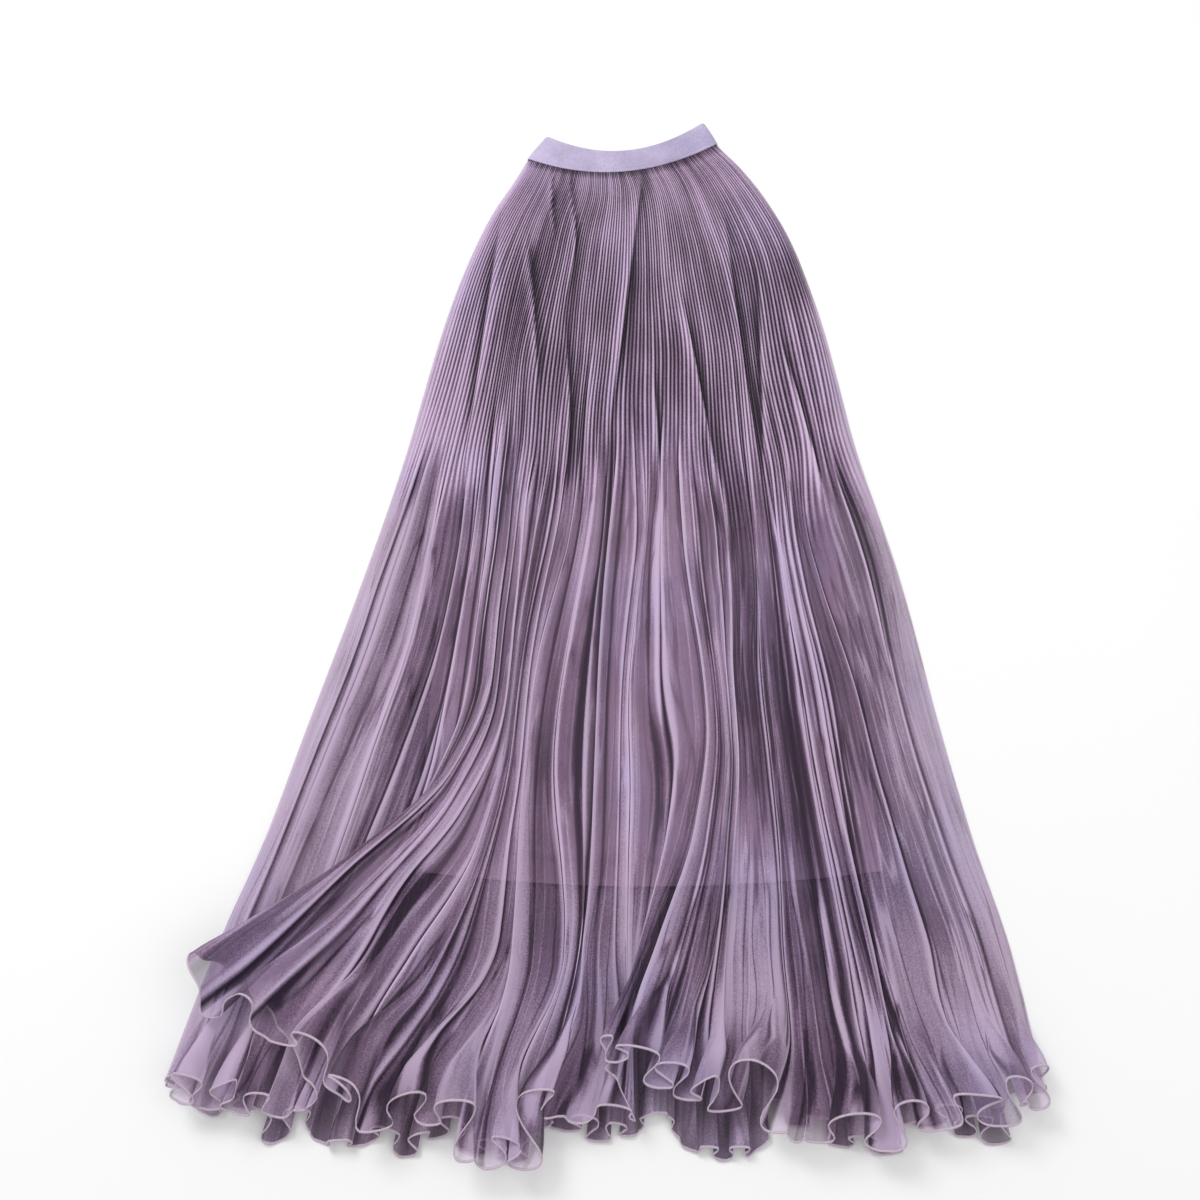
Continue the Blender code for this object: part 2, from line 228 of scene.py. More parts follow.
FRONT_FLUTES = (
    Flute(1.9, 2.8, 9, 15, 7.0, 3),
    Flute(4.9, 3.0, 11, 22, 9.0, -4),
    Flute(8.1, 3.2, 10, 20, 9.0, 4),
    Flute(11.3, 3.0, 7, 16, 6.0, -3),
    Flute(18.4, 2.0, 3, 10, 3.0, 3),
    Flute(21.6, 3.4, 11, 12, 1.0, 3),
    Flute(24.4, 2.8, 7, 14, 4.0, 3),
    Flute(27.6, 3.2, 11, 20, 7.0, 4),
    Flute(31.0, 3.6, 14, 34, 9.0, -6),
    Flute(34.0, 3.0, 9, 28, 8.0, 4),
    Flute(36.6, 3.4, 15, 28, 9.0, 4),
    Flute(40.9, 3.0, 10, 20, 7.0, 2),
    Flute(44.4, 4.0, 15, 34, 11.0, -4),
    Flute(48.2, 3.2, 6, 10, 4.0, 3),
    Flute(55.0, 3.0, 6, 12, 4.0, 4),
    Flute(57.7, 3.2, 13, 20, 9.0, 3),
    Flute(60.6, 2.8, 15, 24, 8.0, -3),
    Flute(63.2, 3.0, 11, 20, 8.0, 3),
    Flute(66.9, 4.4, 19, 38, 12.0, -2),
    Flute(72.5, 4.2, 14, 24, 10.0, 5),
    Flute(76.3, 3.8, 15, 28, 9.0, -3),
    Flute(80.6, 4.6, 13, 22, 10.0, 4),
    Flute(84.4, 3.4, 12, 24, 10.0, -3),
    Flute(88.0, 2.8, 9, 20, 7.0, -3),
)

CREASES = (
    Crease(0.00, -52, 0.05, -51, 0.12, -46, 2.6, 14, 1),
    Crease(0.05, -97, 0.20, -107, 0.42, -124, 4.2, 30, -1),
    Crease(0.08, -78, 0.18, -70, 0.34, -58, 3.6, 26, 1),
    Crease(0.03, -32, 0.10, -26, 0.20, -34, 2.6, 16, 1),
    Crease(0.18, -37, 0.32, -30, 0.44, -33, 3.0, 18, 1),
    Crease(0.02, 41, 0.18, 24, 0.36, 6, 4.6, 30, 1),
    Crease(0.22, -6, 0.32, -11, 0.44, -15, 2.8, 14, -1),
    Crease(0.16, 76, 0.27, 88, 0.46, 112, 4.0, 26, 1),
    Crease(0.05, 124, 0.24, 133, 0.46, 150, 4.4, 28, 1),
    Crease(0.14, 160, 0.28, 156, 0.44, 150, 3.8, 24, -1),
    Crease(0.24, 170, 0.34, 186, 0.48, 206, 3.4, 22, 1),
    Crease(0.26, 50, 0.36, 52, 0.50, 56, 3.0, 18, 1),
    Crease(0.30, -95, 0.38, -98, 0.50, -104, 3.0, 16, -1),
)

PLEAT_HEIGHTS = (
    Crisp(0.00, 1.6),
    Crisp(0.04, 2.2),
    Crisp(0.20, 2.2),
    Crisp(0.33, 2.0),
    Crisp(0.41, 0.5),
    Crisp(0.55, 0.25),
    Crisp(1.00, 0.05),
)

BACK_HEM = (
    Corner(-323, -436),
    Corner(-300, -448),
    Corner(-284, -462),
    Corner(-262, -456),
    Corner(-240, -480),
    Corner(-222, -466),
    Corner(-190, -488),
    Corner(-166, -478),
    Corner(-142, -488),
    Corner(-114, -474),
    Corner(-86, -490),
    Corner(-58, -492),
    Corner(-32, -470),
    Corner(-8, -478),
    Corner(14, -476),
    Corner(44, -466),
    Corner(70, -488),
    Corner(104, -491),
    Corner(126, -464),
    Corner(160, -476),
    Corner(192, -487),
    Corner(216, -485),
    Corner(242, -468),
    Corner(266, -476),
    Corner(288, -480),
    Corner(304, -452),
    Corner(329, -440),
)

# The first is a soft grain. The others are thin crease lines, bumps in the light and also painted in the
# colour: painted highlight where the weight is above 0, painted shade where it is below
CRINKLES = (
    Crinkle(330.0, 7.0, 0.0, 0.26, 0.0),
    Crinkle(60.0, 3.0, 3.1, 0.26, 0.030),
    Crinkle(45.0, 3.5, 7.7, -0.27, 0.024),
    Crinkle(110.0, 6.0, 5.3, -0.07, 0.050),
)

# Heights of the knit between which a hole opens, and how much of a hole lets light through
HOLE_EDGE = (0.25, 0.7)
HOLE_SHARE = 0.25
# Patches, clouds of cooler cloth and thread grain, for each metre, and the grain's weight of tone
PATCH_SCALE = 22.0
CLOUD_SCALE = 9.0
GRAIN_SCALE = 900.0
GRAIN_TONE = 0.60
# Tones between which the colour goes from painted shade in a valley to level cloth, and from that to a
# painted highlight on a ridge
VALLEY_TO_BODY = (0.05, 0.5)
BODY_TO_RIDGE = (0.5, 0.95)
# How the clouds cool the cloth, how it cools towards the hem, and what cool cloth is tinted with
CLOUD_COOLNESS = ((0.35, 0.65), (-0.6, 0.6))
HEM_COOLNESS = ((-0.45, -0.9), (0.0, 0.25))
COOL_TINT = (0.92, 0.98, 1.06, 1)
# Height of the crinkles beside the knit's, and how much rougher the cloth is between its threads
CRINKLE_RELIEF = 6.0
HOLLOW_ROUGHNESS = 0.08

LAMPS = (
    Lamp("key", (-1.3, 1.5, 2.0), 1.2, 50.0),
    Lamp("fill", (1.6, -0.6, 1.8), 2.0, 12.0),
)

Array = np.ndarray
Step = tuple[float, float]
Plateau = tuple[float, float, float, float]
Colour = tuple[float, float, float, float]


def mix(low: Array | float, high: Array | float, share: Array | float) -> Array | float:
    """The value at a share of the way from low to high."""
    return low + (high - low) * share


def ease(low: Array | float, high: Array | float, at: Array | float) -> Array | float:
    """0 before low, 1 after high, and a soft step between them."""
    t = np.clip((at - low) / (high - low), 0, 1)
    return t * t * (3 - 2 * t)


def between(places: Plateau, at: Array | float) -> Array | float:
    """1 between the two inner places, 0 outside the two outer ones, with soft steps."""
    start, full, fading, end = places
    return ease(start, full, at) * (1 - ease(fading, end, at))


def graded_runs(spans: tuple[tuple[float, int], ...]) -> Array:
    """Rows of a sheet, in spans that each have their own spacing.

    Args:
        spans: The run at each span's end and its number of rows. The last span ends at the hem.

    Returns:
        Runs from 0 at the waist seam to 1 at the hem.
    """
    starts = [0.0] + [end for end, _ in spans]
    return np.concatenate(
        [np.linspace(start, end, count, endpoint=end == 1.0) for start, (end, count) in zip(starts, spans)]
    )


def smooth_lookup(xs: Array, ys: Array, at: Array) -> Array:
    """Monotone cubic through points in rising xs, held flat past both ends.

    Args:
        xs: Places of the points, one dimension.
        ys: Values at the points along the first axis; it may have more axes.
        at: Places to look up, one dimension.

    Returns:
        Values at each place along the first axis, with the other axes of ys.
    """
    xs = np.asarray(xs, float)
    ys = np.asarray(ys, float)
    extra = (1,) * (ys.ndim - 1)
    steps = np.diff(xs).reshape((-1,) + extra)
    slopes = np.diff(ys, axis=0) / steps
    before, after = slopes[:-1], slopes[1:]
    tangents = np.zeros_like(ys)
    same_way = before * after > 0
    safe = np.where(same_way, before + after, 1.0)
    tangents[1:-1] = np.where(same_way, 2 * before * after / safe, 0.0)
    tangents[0], tangents[-1] = slopes[0], slopes[-1]
    at = np.clip(np.asarray(at, float), xs[0], xs[-1])
    i = np.clip(np.searchsorted(xs, at, side="right") - 1, 0, len(xs) - 2)
    step = steps[i]
    t = ((at - xs[i]).reshape((-1,) + extra)) / step
    return (
        ys[i] * (1 + 2 * t) * (1 - t) ** 2
        + tangents[i] * step * t * (1 - t) ** 2
        + ys[i + 1] * t * t * (3 - 2 * t)
        - tangents[i + 1] * step * t * t * (1 - t)
    )


def column(rows: tuple, name: str) -> list[float]:
    """One named column of a table."""
    return [getattr(row, name) for row in rows]


def seam_y(x: Array) -> Array:
    """Place in Y of the waist seam at a place in X."""
    share = (x - SEAM_LEFT[0]) / (SEAM_RIGHT[0] - SEAM_LEFT[0])
    return mix(SEAM_LEFT[1], SEAM_RIGHT[1], share) - 4 * SEAM_DIP * share * (1 - share)


def slow_noise(seed: int, count: int, knots: int) -> Array:
    """Smooth noise from -1 to 1 along one line.

    Args:
        seed: Fixes the draw.
        count: Points along the line.
        knots: How many free values the line has.

    Returns:
        One value for each point.
    """
    values = np.random.default_rng(seed).uniform(-1, 1, knots)
    return smooth_lookup(np.linspace(0, 1, knots), values, np.linspace(0, 1, count))


def slow_field(seed: int, rows: int, columns: int, row_knots: int, column_knots: int) -> Array:
    """Smooth noise from -1 to 1 over a grid.

    Args:
        seed: Fixes the draw.
        rows: Points down the grid.
        columns: Points across the grid.
        row_knots: Free values down the grid.
        column_knots: Free values across the grid.

    Returns:
        An array of rows by columns.
    """
    values = np.random.default_rng(seed).uniform(-1, 1, (row_knots, column_knots))
    down = smooth_lookup(np.linspace(0, 1, row_knots), values, np.linspace(0, 1, rows))
    return smooth_lookup(np.linspace(0, 1, column_knots), down.T, np.linspace(0, 1, columns)).T


@dataclass
class Sheet:
    """A finished cloth surface: rows run from the waist down, and columns from left to right.

    Attributes:
        points: Places, as rows by columns by three, in metres.
        tone: Painted light and shade by each point's depth in its folds, from 0 in a valley to 1 on a ridge.
        cover: Share of what lies behind each point that the cloth hides.
        loose: How crinkled each point is, from 0 to 1 or a little more.
        cloth: Flat coordinates of each point, as rows by columns by two, in metres.
    """

    points: Array
    tone: Array
    cover: Array
    loose: Array
    cloth: Array

    def edge_direction(self) -> Array:
        """Unit vectors that run out of the cloth at its lower edge."""
        out = self.points[-1] - self.points[-3]
        return out / np.linalg.norm(out, axis=1, keepdims=True)


def fold_tone(heights: Array, reach: int, depth: float) -> Array:
    """Painted shade and highlight by how far each point stands above or below the cloth beside it.

    Args:
        heights: Rows by columns of heights.
        reach: Columns on each side that count as beside it.
        depth: Height difference that gives the full tone.

    Returns:
        0 in a valley, 0.5 on level cloth and 1 on a ridge.
    """
    padded = np.pad(heights, ((0, 0), (reach, reach)), mode="edge")
    sums = np.cumsum(np.pad(padded, ((0, 0), (1, 0))), axis=1)
    window = 2 * reach + 1
    level = (sums[:, window:] - sums[:, :-window]) / window
    return np.clip(0.5 + (heights - level) / (2 * depth), 0, 1)


def steep_cover(points: Array, level: Array | float) -> Array:
    """How much cloth hides where it stands up from the surface, and so is seen through its length.

    Args:
        points: Rows by columns by three.
        level: Cover of the same cloth lying level.

    Returns:
        Rows by columns of cover.
    """
    ways = np.gradient(points, axis=1)
    length = np.hypot(ways[..., 0], ways[..., 2])
    slant = length / np.maximum(np.abs(ways[..., 0]), 0.25 * length)
    return 1 - (1 - level) ** slant


def sharp_fold(t: Array, skew: float) -> Array:
    """Cross section of a fold over -1 to 1 with a sharp crest set off to one side.

    Args:
        t: Place across the fold.
        skew: Place of the crest.

    Returns:
        Heights from 0 at both feet to 1 on the crest.
    """
    left = np.clip((t + 1) / (1 + skew), 0, 1)
    right = np.clip((1 - t) / (1 - skew), 0, 1)
    return np.minimum(left, right) ** 1.35


@dataclass(frozen=True)
class SlateShade:
    """Painted light and shade on the folds that lie like slates, with tone that varies at random, as weights
    of tone.

    Attributes:
        slow: Slow change of tone down each fold.
        own: Each fold's own tone.
        slope: Painted light, a rise of tone across a fold as the fold rises towards its free edge.
        slope_middle: Share of the way across where that rise adds nothing.
        lit: Painted highlight, a pale line beside the free edge.
        lit_off: How far it stands from the dark line, in pleats.
        lit_width: Its width in pleats.
        edge: Painted shadow, a dark line under the free edge, in the upper skirt and low down.
        foot: Painted shade, a dark line at the foot of a fold.
        foot_width: Its width in pleats.
        sunk: Painted shade where a fold sinks between its neighbours.
        gaps: Width in pleats of the painted shadow under the edge, on the lowest and the tallest folds.
        low_gap: Share of that width that is left low down.
        low_runs: Runs over which the cloth changes from the upper skirt to low down.
    """

    slow: float = 0.34
    own: float = 0.14
    slope: float = 0.16
    slope_middle: float = 0.4
    lit: float = 0.64
    lit_off: float = 0.12
    lit_width: float = 0.16
    edge: Step = (0.90, 1.10)
    foot: float = 0.52
    foot_width: float = 0.18
    sunk: float = 0.58
    gaps: Step = (0.12, 0.30)
    low_gap: float = 0.62
    low_runs: Step = (0.70, 0.88)


@dataclass(frozen=True)
class FrontShade:
    """Painted light and shade on the sheer front, and its tone that varies at random, as weights of tone, and
    where.

    Attributes:
        level: Tone of level cloth.
        reliefs: Painted shade in valleys and painted highlight on ridges. For narrow, middling and wide
            folds, the columns beside a point that count, the height that gives the full tone, and the weight.
        loose_relief: Share of those weights that is left where the cloth is out of its pleats.
        pleated_patches: Patches of tone where it is pleated.
        each_pleat: Each pleat's own tone.
        loose_patches: The same patches where it is out of its pleats.
        broad_patches: Broader patches there.
        loose: All of the cloth out of its pleats.
        seam: Painted shadow, a dark line under the band.
        seam_runs: Its runs.
        waist: Pale zone under the band.
        hip: Dark zone over the hip.
        hip_runs: Runs where it fades in and out. The pale zone ends where it starts.
        side: Painted light where the thin cloth at both sides is lit through.
        side_pleats: Its pleats, counted from the side.
        left: Painted light where the thin cloth towards the left side is lit through.
        left_pleats: Its pleats.
        low: Lower skirt.
        swept: Painted shade in the hollow beside the left swept fold.
        swept_pleats: Pleats where that hollow starts and ends.
        hem: Painted light where the last stretch before the edge is lit through.
        lip: Painted shade under the turned-back lip.
        low_folds: Share of the fine folds' tone that is left low down.
        low_fold_runs: Runs where the rest fades.
        right_folds: How much more of the fine folds' tone shows on the right.
        fold_side: Pleats from the side over which their tone grows.
    """

    level: float = 0.48
    reliefs: tuple[tuple[int, float, float], ...] = (
        (2, 0.30 * MM, 0.30),
        (6, 0.95 * MM, 0.42),
        (22, 3.6 * MM, 0.34),
    )
    loose_relief: float = 0.4
    pleated_patches: float = 0.19
    each_pleat: float = 0.16
    loose_patches: float = 0.05
    broad_patches: float = 0.07
    loose: float = 0.06
    seam: float = 0.5
    seam_runs: Step = (0, 0.010)
    waist: float = 0.05
    hip: float = 0.11
    hip_runs: Plateau = (0.08, 0.18, 0.30, 0.40)
    side: float = 0.35
    side_pleats: Step = (0, 4)
    left: float = 0.26
    left_pleats: Step = (2, 17)
    low: float = 0.07
    swept: float = 0.15
    swept_pleats: Plateau = (19, 22, 30, 36)
    hem: float = 0.14
    lip: float = 0.22
    low_folds: float = 0.8
    low_fold_runs: Step = (0.74, 0.86)
    right_folds: float = 0.22
    fold_side: Step = (0, 5)


@dataclass(frozen=True)
class CreaseLook:
    """Shape and shade that all creases share. Places across are shares of a crease's width.

    Attributes:
        drop: Where the cloth drops on the dark side.
        hollow: Depth of the hollow beside the drop, as a share of the crease's height.
        lean: How far the crest leans over the drop, as a share of the height.
        shaded: Where the dark side fades in and out.
        shadow: Its weight of tone.
        lit: Where the pale crest fades in and out.
        light: Its weight of tone.
        seam_start: A crease that starts above this run is gathered at the seam too.
        seam_height: Its share of height there.
        seam_runs: Runs over which it reaches that share.
    """

    drop: Step = (0, 0.16)
    hollow: float = 0.35
    lean: float = 0.35
    shaded: Plateau = (-0.02, 0.08, 0.1, 0.55)
    shadow: float = 0.42
    lit: Plateau = (-0.3, -0.06, -0.06, 0.02)
    light: float = 0.22
    seam_start: float = 0.04
    seam_height: float = 0.5
    seam_runs: Step = (0, 0.03)


@dataclass
class FrontDrape:
    """Shape of the sheer front panel, from its pleats at the waist to its curled hem.

    A pair of runs or pleats says where something fades in, and four of them where it fades in and out.
    A length without MM is in millimetres, as in the tables.
    """

    # Grid of the sheet, and its cut
    rows: tuple[tuple[float, int], ...] = ((0.34, 32), (0.84, 54), (0.97, 29), (1.0, 19))
    columns_per_pleat: int = 8
    flat_width: float = 1.15
    flat_length: float = 0.93
    seed: int = 11

    # Heights of the cloth over the surface before its folds
    floor: float = 5.15 * MM
    seam_floor: float = 4.4 * MM
    seam_floor_runs: Step = (0, 0.03)
    side_floor: float = 1.6 * MM
    side_pleats: float = 3.0
    side_relief: float = 0.3
    swell: float = 1.2 * MM
    swell_runs: Step = (0, 0.05)
    wave: float = 1.6
    wave_runs: Plateau = (0, 0.12, 0.4, 0.7)
    hem_prop: float = 8.0 * MM
    prop_runs: Step = (0.80, 1.0)

    # Long folds of the table
    part_risen: float = 0.6
    fold_wander: float = 0.35
    fold_skew: float = 0.45
    fold_lean: float = 0.55

    # Finer folds that the pleats open into
    folds: int = 60
    fold_widths: float = 1.25
    narrowest: float = 0.24
    facing: Step = (0.4, 0.6)
    fold_heights: Step = (1.2, 5.0)
    sinks_below: float = 1.3
    sinking: Step = (0.0, 0.6)
    sunk_height: float = 0.8
    fold_breath: float = 0.62
    fold_drift: float = 1.15
    calm_runs: Step = (0.36, 0.5)
    calm_hem: float = 0.35
    calm_hem_runs: Step = (0.86, 1.0)
    turned_calm: float = 0.85
    turned_runs: Step = (0.62, 0.8)
    left_turn: Plateau = (10, 14, 24, 28)
    right_turn: Plateau = (46, 50, 57, 60)
    opening: Step = (0.33, 0.45)
    slate_rise: float = 1.5
    slate_lean: float = 0.8
    free_edge: float = 0.3
    slate_shade: SlateShade = SlateShade()

    # Accordion pleats and how they relax
    lateness: tuple[float, ...] = (0.035, 0.03, 0.0, 0.05, 0.09)
    late_ripple: float = 0.035
    unpacking: Step = (0.36, 0.44)
    uneven_pleats: float = 0.22
    sway: float = 5.5 * MM
    sway_runs: Plateau = (0.01, 0.12, 0.5, 0.75)
    crease_look: CreaseLook = CreaseLook()

    # Ruffles of the hem
    flute_run: float = 0.12
    curl_run: float = 0.07
    ripple: float = 4.4 * MM
    ripple_pleats: float = 1.9
    ripple_wander: float = 0.35
    ripple_sizes: Step = (0.55, 0.45)
    ripple_run: Step = (0.968, 1.0)
    ripple_across: float = 0.8
    ripple_up: float = 0.6
    no_ripple: Plateau = (47.5, 50.5, 54.5, 56.5)
    lip_pleat: float = 21.2
    lip_pleats: float = 3.2
    lip: float = 18.0
    lip_reach: float = 1.5
    lip_runs: Step = (0.9, 1)

    # How much the cloth hides, how crinkled it is, and its tone with painted light and shade
    cover: float = 0.47
    low_cover: float = 0.55
    low_cover_runs: Step = (0.76, 0.86)
    packed_cover: float = 0.93
    hem_cover: float = 0.8
    hem_runs: Step = (0.97, 1)
    side_cover: float = 0.6
    side_cover_pleats: Step = (0, 2.5)
    doubled: float = 2.2
    low_doubled: float = 0.4
    low_doubled_runs: Step = (0.74, 0.84)
    lip_layers: float = 2.0
    low_runs: Step = (0.78, 0.90)
    right_pleats: Step = (52, 66)
    packed_calm: float = 0.85
    low_crinkle: float = 0.45
    right_crinkle: float = 0.35
    shade: FrontShade = FrontShade()

    def places(self, pleats: Array, runs: Array) -> tuple[Array, Array]:
        """Places in X and Y before folds and flutes.

        Args:
            pleats: Pleat number of each column.
            runs: Run of each row.

        Returns:
            Rows by columns of X, and of Y.
        """
        knots = column(PLEATED_WIDTHS, "run") + list(RIDGE_RUNS)
        numbers = column(RIDGES, "pleat")
        stations = [smooth_lookup(numbers, column(RIDGES, name), pleats) for name in Ridge._fields[1:7]]
        first, last = RIDGES[0].x40, RIDGES[-1].x40
        settled = (stations[0] - first) / (last - first)
        rows = [
            mix(width.left, width.right, mix(pleats / PLEATS, settled, ease(0, RIDGE_RUNS[0], width.run)))
            for width in PLEATED_WIDTHS
        ]
        rows += stations
        x = smooth_lookup(knots, np.array(rows), runs) * MM
        hem = smooth_lookup(numbers, column(RIDGES, "hem_y"), pleats) * MM
        y = mix(seam_y(x[0]) - UNDER_BAND, hem, runs[:, None])
        return x, y

    def long_folds(self, pleats: Array, runs: Array) -> tuple[Array, Array]:
        """Heights of the folds that the table places, and how far they push the cloth sideways.

        Args:
            pleats: Pleat number of each column.
            runs: Run of each row.

        Returns:
            Rows by columns of height, and of shift in X.
        """
        height = np.zeros((len(runs), len(pleats)))
        shift = np.zeros_like(height)
        for number, ridge in enumerate(RIDGES):
            if ridge.mid == 0:
                continue
            risen = (0, self.part_risen * ridge.mid, ridge.mid, ridge.low)
            tall = smooth_lookup(FOLD_RUNS, risen, runs)
            side = -1 if number % 2 else 1
            wander = self.fold_wander * slow_noise(self.seed + number, len(runs), 7)
            across = (pleats[None, :] - ridge.pleat - wander[:, None]) / ridge.half
            fold = tall[:, None] * sharp_fold(across, self.fold_skew * side) * MM
            height += fold
            shift += self.fold_lean * side * fold
        return height, shift

    def streams(self, seed: int, folds: int, count: int, knots: int) -> Array:
        """Slow noise down each of a number of folds.

        Args:
            seed: Fixes the draws, with the panel's own seed.
            folds: Number of folds.
            count: Points down each fold.
            knots: Free values down each fold.

        Returns:
            Points by folds.
        """
        return np.array([slow_noise(self.seed + seed + fold, count, knots) for fold in range(folds)]).T

    def slates(self, pleats: Array, runs: Array) -> tuple[Array, Array, Array, Array]:
        """The folds that the pleats open into, which lie side by side like slates.

        Each one rises slowly across its width and drops at its free edge. Down the skirt the folds draw
        together and part again, and some of them sink out of sight between their neighbours.

        Args:
            pleats: Pleat number of each column.
            runs: Run of each row.

        Returns:
            Rows by columns of height, of shift in X, of tone to add, which is painted light and shade at the
            folds' edges, feet and sunken parts with some random tone, and of the pleat number whose place
            each point takes.
        """
        look = self.slate_shade
        draw = np.random.default_rng(self.seed)
        widths = draw.gamma(self.fold_widths, 1.0, self.folds) + self.narrowest
        side = draw.choice((-1, 1), self.folds, p=self.facing)
        tall = draw.uniform(*self.fold_heights, self.folds)
        widths *= PLEATS / widths.sum()
        starts = np.cumsum(widths) - widths
        own = draw.uniform(-1, 1, self.folds)
        breath = self.streams(300, self.folds - 1, len(runs), 7)
        shade = self.streams(500, self.folds, len(runs), 7)
        sunk = self.streams(700, self.folds, len(runs), 8)
        sunk = ease(*self.sinking, sunk) * (widths < self.sinks_below)[None, :]
        drift = self.fold_drift * slow_field(self.seed + 8, len(runs), self.folds - 1, 7, 14)
        calm = mix(1, self.calm_hem, ease(*self.calm_hem_runs, runs))[:, None]
        calm = calm * ease(*self.calm_runs, runs)[:, None]
        turned_under = between(self.left_turn, starts[1:]) + between(self.right_turn, starts[1:])
        turned_runs = ease(*self.turned_runs, runs)[:, None]
        calm = calm * (1 - self.turned_calm * turned_runs * turned_under[None, :])
        moved = (self.fold_breath * np.minimum(widths[:-1], widths[1:]) * breath + drift) * calm
        moved = np.pad(moved, ((0, 0), (1, 1)))
        fold = np.clip(np.searchsorted(starts, pleats, side="right") - 1, 0, self.folds - 1)
        share = (pleats - starts[fold]) / widths[fold]
        bent = pleats[None, :] + mix(moved[:, fold], moved[:, fold + 1], share[None, :])
        share = np.where(side[fold] > 0, share, 1 - share)
        to_edge = (1 - share) * widths[fold]
        opened = ease(*self.opening, runs[:, None] - self.late(len(pleats))[None, :])
        form = tall[fold] * share ** self.slate_rise * np.minimum(1, widths[fold])
        form = form * np.minimum(1, to_edge / self.free_edge)
        height = form[None, :] * (1 - self.sunk_height * sunk[:, fold]) * opened * MM
        low_down = ease(*look.low_runs, runs)[:, None]
        lowest, tallest = self.fold_heights
        gap = mix(*look.gaps, (tall - lowest) / (tallest - lowest))[fold][None, :]
        gap = gap * mix(1, look.low_gap, low_down)
        # Painted highlight beside each free edge, and painted shadow under it and at each fold's foot
        painted_highlight = look.lit * np.exp(-(((to_edge - gap - look.lit_off) / look.lit_width) ** 2))
        dark = mix(*look.edge, low_down) * np.exp(-((to_edge / gap) ** 2))
        dark = dark + look.foot * np.exp(-((share * widths[fold] / look.foot_width) ** 2))
        # Random tone down each fold and of each fold, painted light rising across it, and painted shade where
        # it sinks
        tone = look.slow * shade[:, fold] + look.own * own[fold][None, :]
        tone = tone + look.slope * (share - look.slope_middle)[None, :]
        tone = tone + painted_highlight - dark - look.sunk * sunk[:, fold]
        return height, self.slate_lean * side[fold][None, :] * height, tone * opened, bent

    def late(self, count: int) -> Array:
        """How much further down than the rest each place keeps its pleats.

        Args:
            count: Columns of the sheet.

        Returns:
            Runs, one for each column.
        """
        share = np.linspace(0, 1, count)
        ripple = self.late_ripple * slow_noise(self.seed + 7, count, 44)
        return ripple + smooth_lookup(np.linspace(0, 1, len(self.lateness)), self.lateness, share)

    def crisp_pleats(self, pleats: Array, runs: Array) -> Array:
        """Heights of the accordion pleats, which relax unevenly below the hip.

        Args:
            pleats: Pleat number of each column.
            runs: Run of each row.

        Returns:
            Rows by columns of height.
        """
        crest = 1 - np.abs(2 * (pleats * FINE_PLEATS / PLEATS % 1.0) - 1)
        fall = runs[:, None] - self.late(len(pleats))[None, :]
        tall = np.interp(fall, column(PLEAT_HEIGHTS, "run"), column(PLEAT_HEIGHTS, "height"))
        return tall * MM * crest[None, :]

    def creases(self, x: Array, runs: Array) -> tuple[Array, Array, Array]:
        """Heights and sideways shifts where groups of pleats lie over their neighbours.

        Args:
            x: Rows by columns of places in X.
            runs: Run of each row.

        Returns:
            Rows by columns of height, of shift in X, and of tone to add: painted highlight on the crest and
            painted shade on the dark side.
        """
        look = self.crease_look
        height = np.zeros_like(x)
        shift = np.zeros_like(x)
        tone = np.zeros_like(x)
        for crease in CREASES:
            stops = (crease.start, crease.middle, crease.end)
            line = smooth_lookup(stops, (crease.x_start, crease.x_middle, crease.x_end), runs)
            grown = ease(crease.start, crease.middle, runs) * (1 - ease(crease.middle, crease.end, runs) ** 2)
            from_seam = (runs < crease.middle) * (crease.start < look.seam_start)
            grown = np.maximum(grown, look.seam_height * ease(*look.seam_runs, runs) * from_seam)
            across = (x / MM - line[:, None]) * crease.dark / crease.width
            rising = np.clip(1 + across, 0, 1) ** 2
            falling = 1 - ease(*look.drop, across)
            sunk = np.where(across > 0, np.clip(1 - across, 0, 1) ** 2 * ease(*look.drop, across), 0)
            over = np.where(across > 0, falling, rising)
            height += crease.height * MM * grown[:, None] * (over - look.hollow * sunk)
            shift += look.lean * crease.dark * crease.height * MM * grown[:, None] * over
            # Painted shade on the dark side and painted highlight on the crest
            shaded = between(look.shaded, across)
            lit = between(look.lit, across)
            tone += grown[:, None] * (look.light * lit - look.shadow * shaded)
        return height, shift, tone

    def sweeps(self, pleats: Array, runs: Array) -> Array:
        """Heights of the two swept folds.

        Args:
            pleats: Pleat number of each column.
            runs: Run of each row.

        Returns:
            Rows by columns of height.
        """
        total = np.zeros((len(runs), len(pleats)))
        for sweep in SWEEPS:
            grown = ease(sweep.start, sweep.risen, runs) * sweep.height * MM
            rise = np.clip((pleats - sweep.turn) / (sweep.crest - sweep.turn), 0, 1)
            sink = 1 - ease(sweep.crest, sweep.crest + sweep.fade, pleats)
            total += grown[:, None] * (rise * sink)[None, :]
        return total

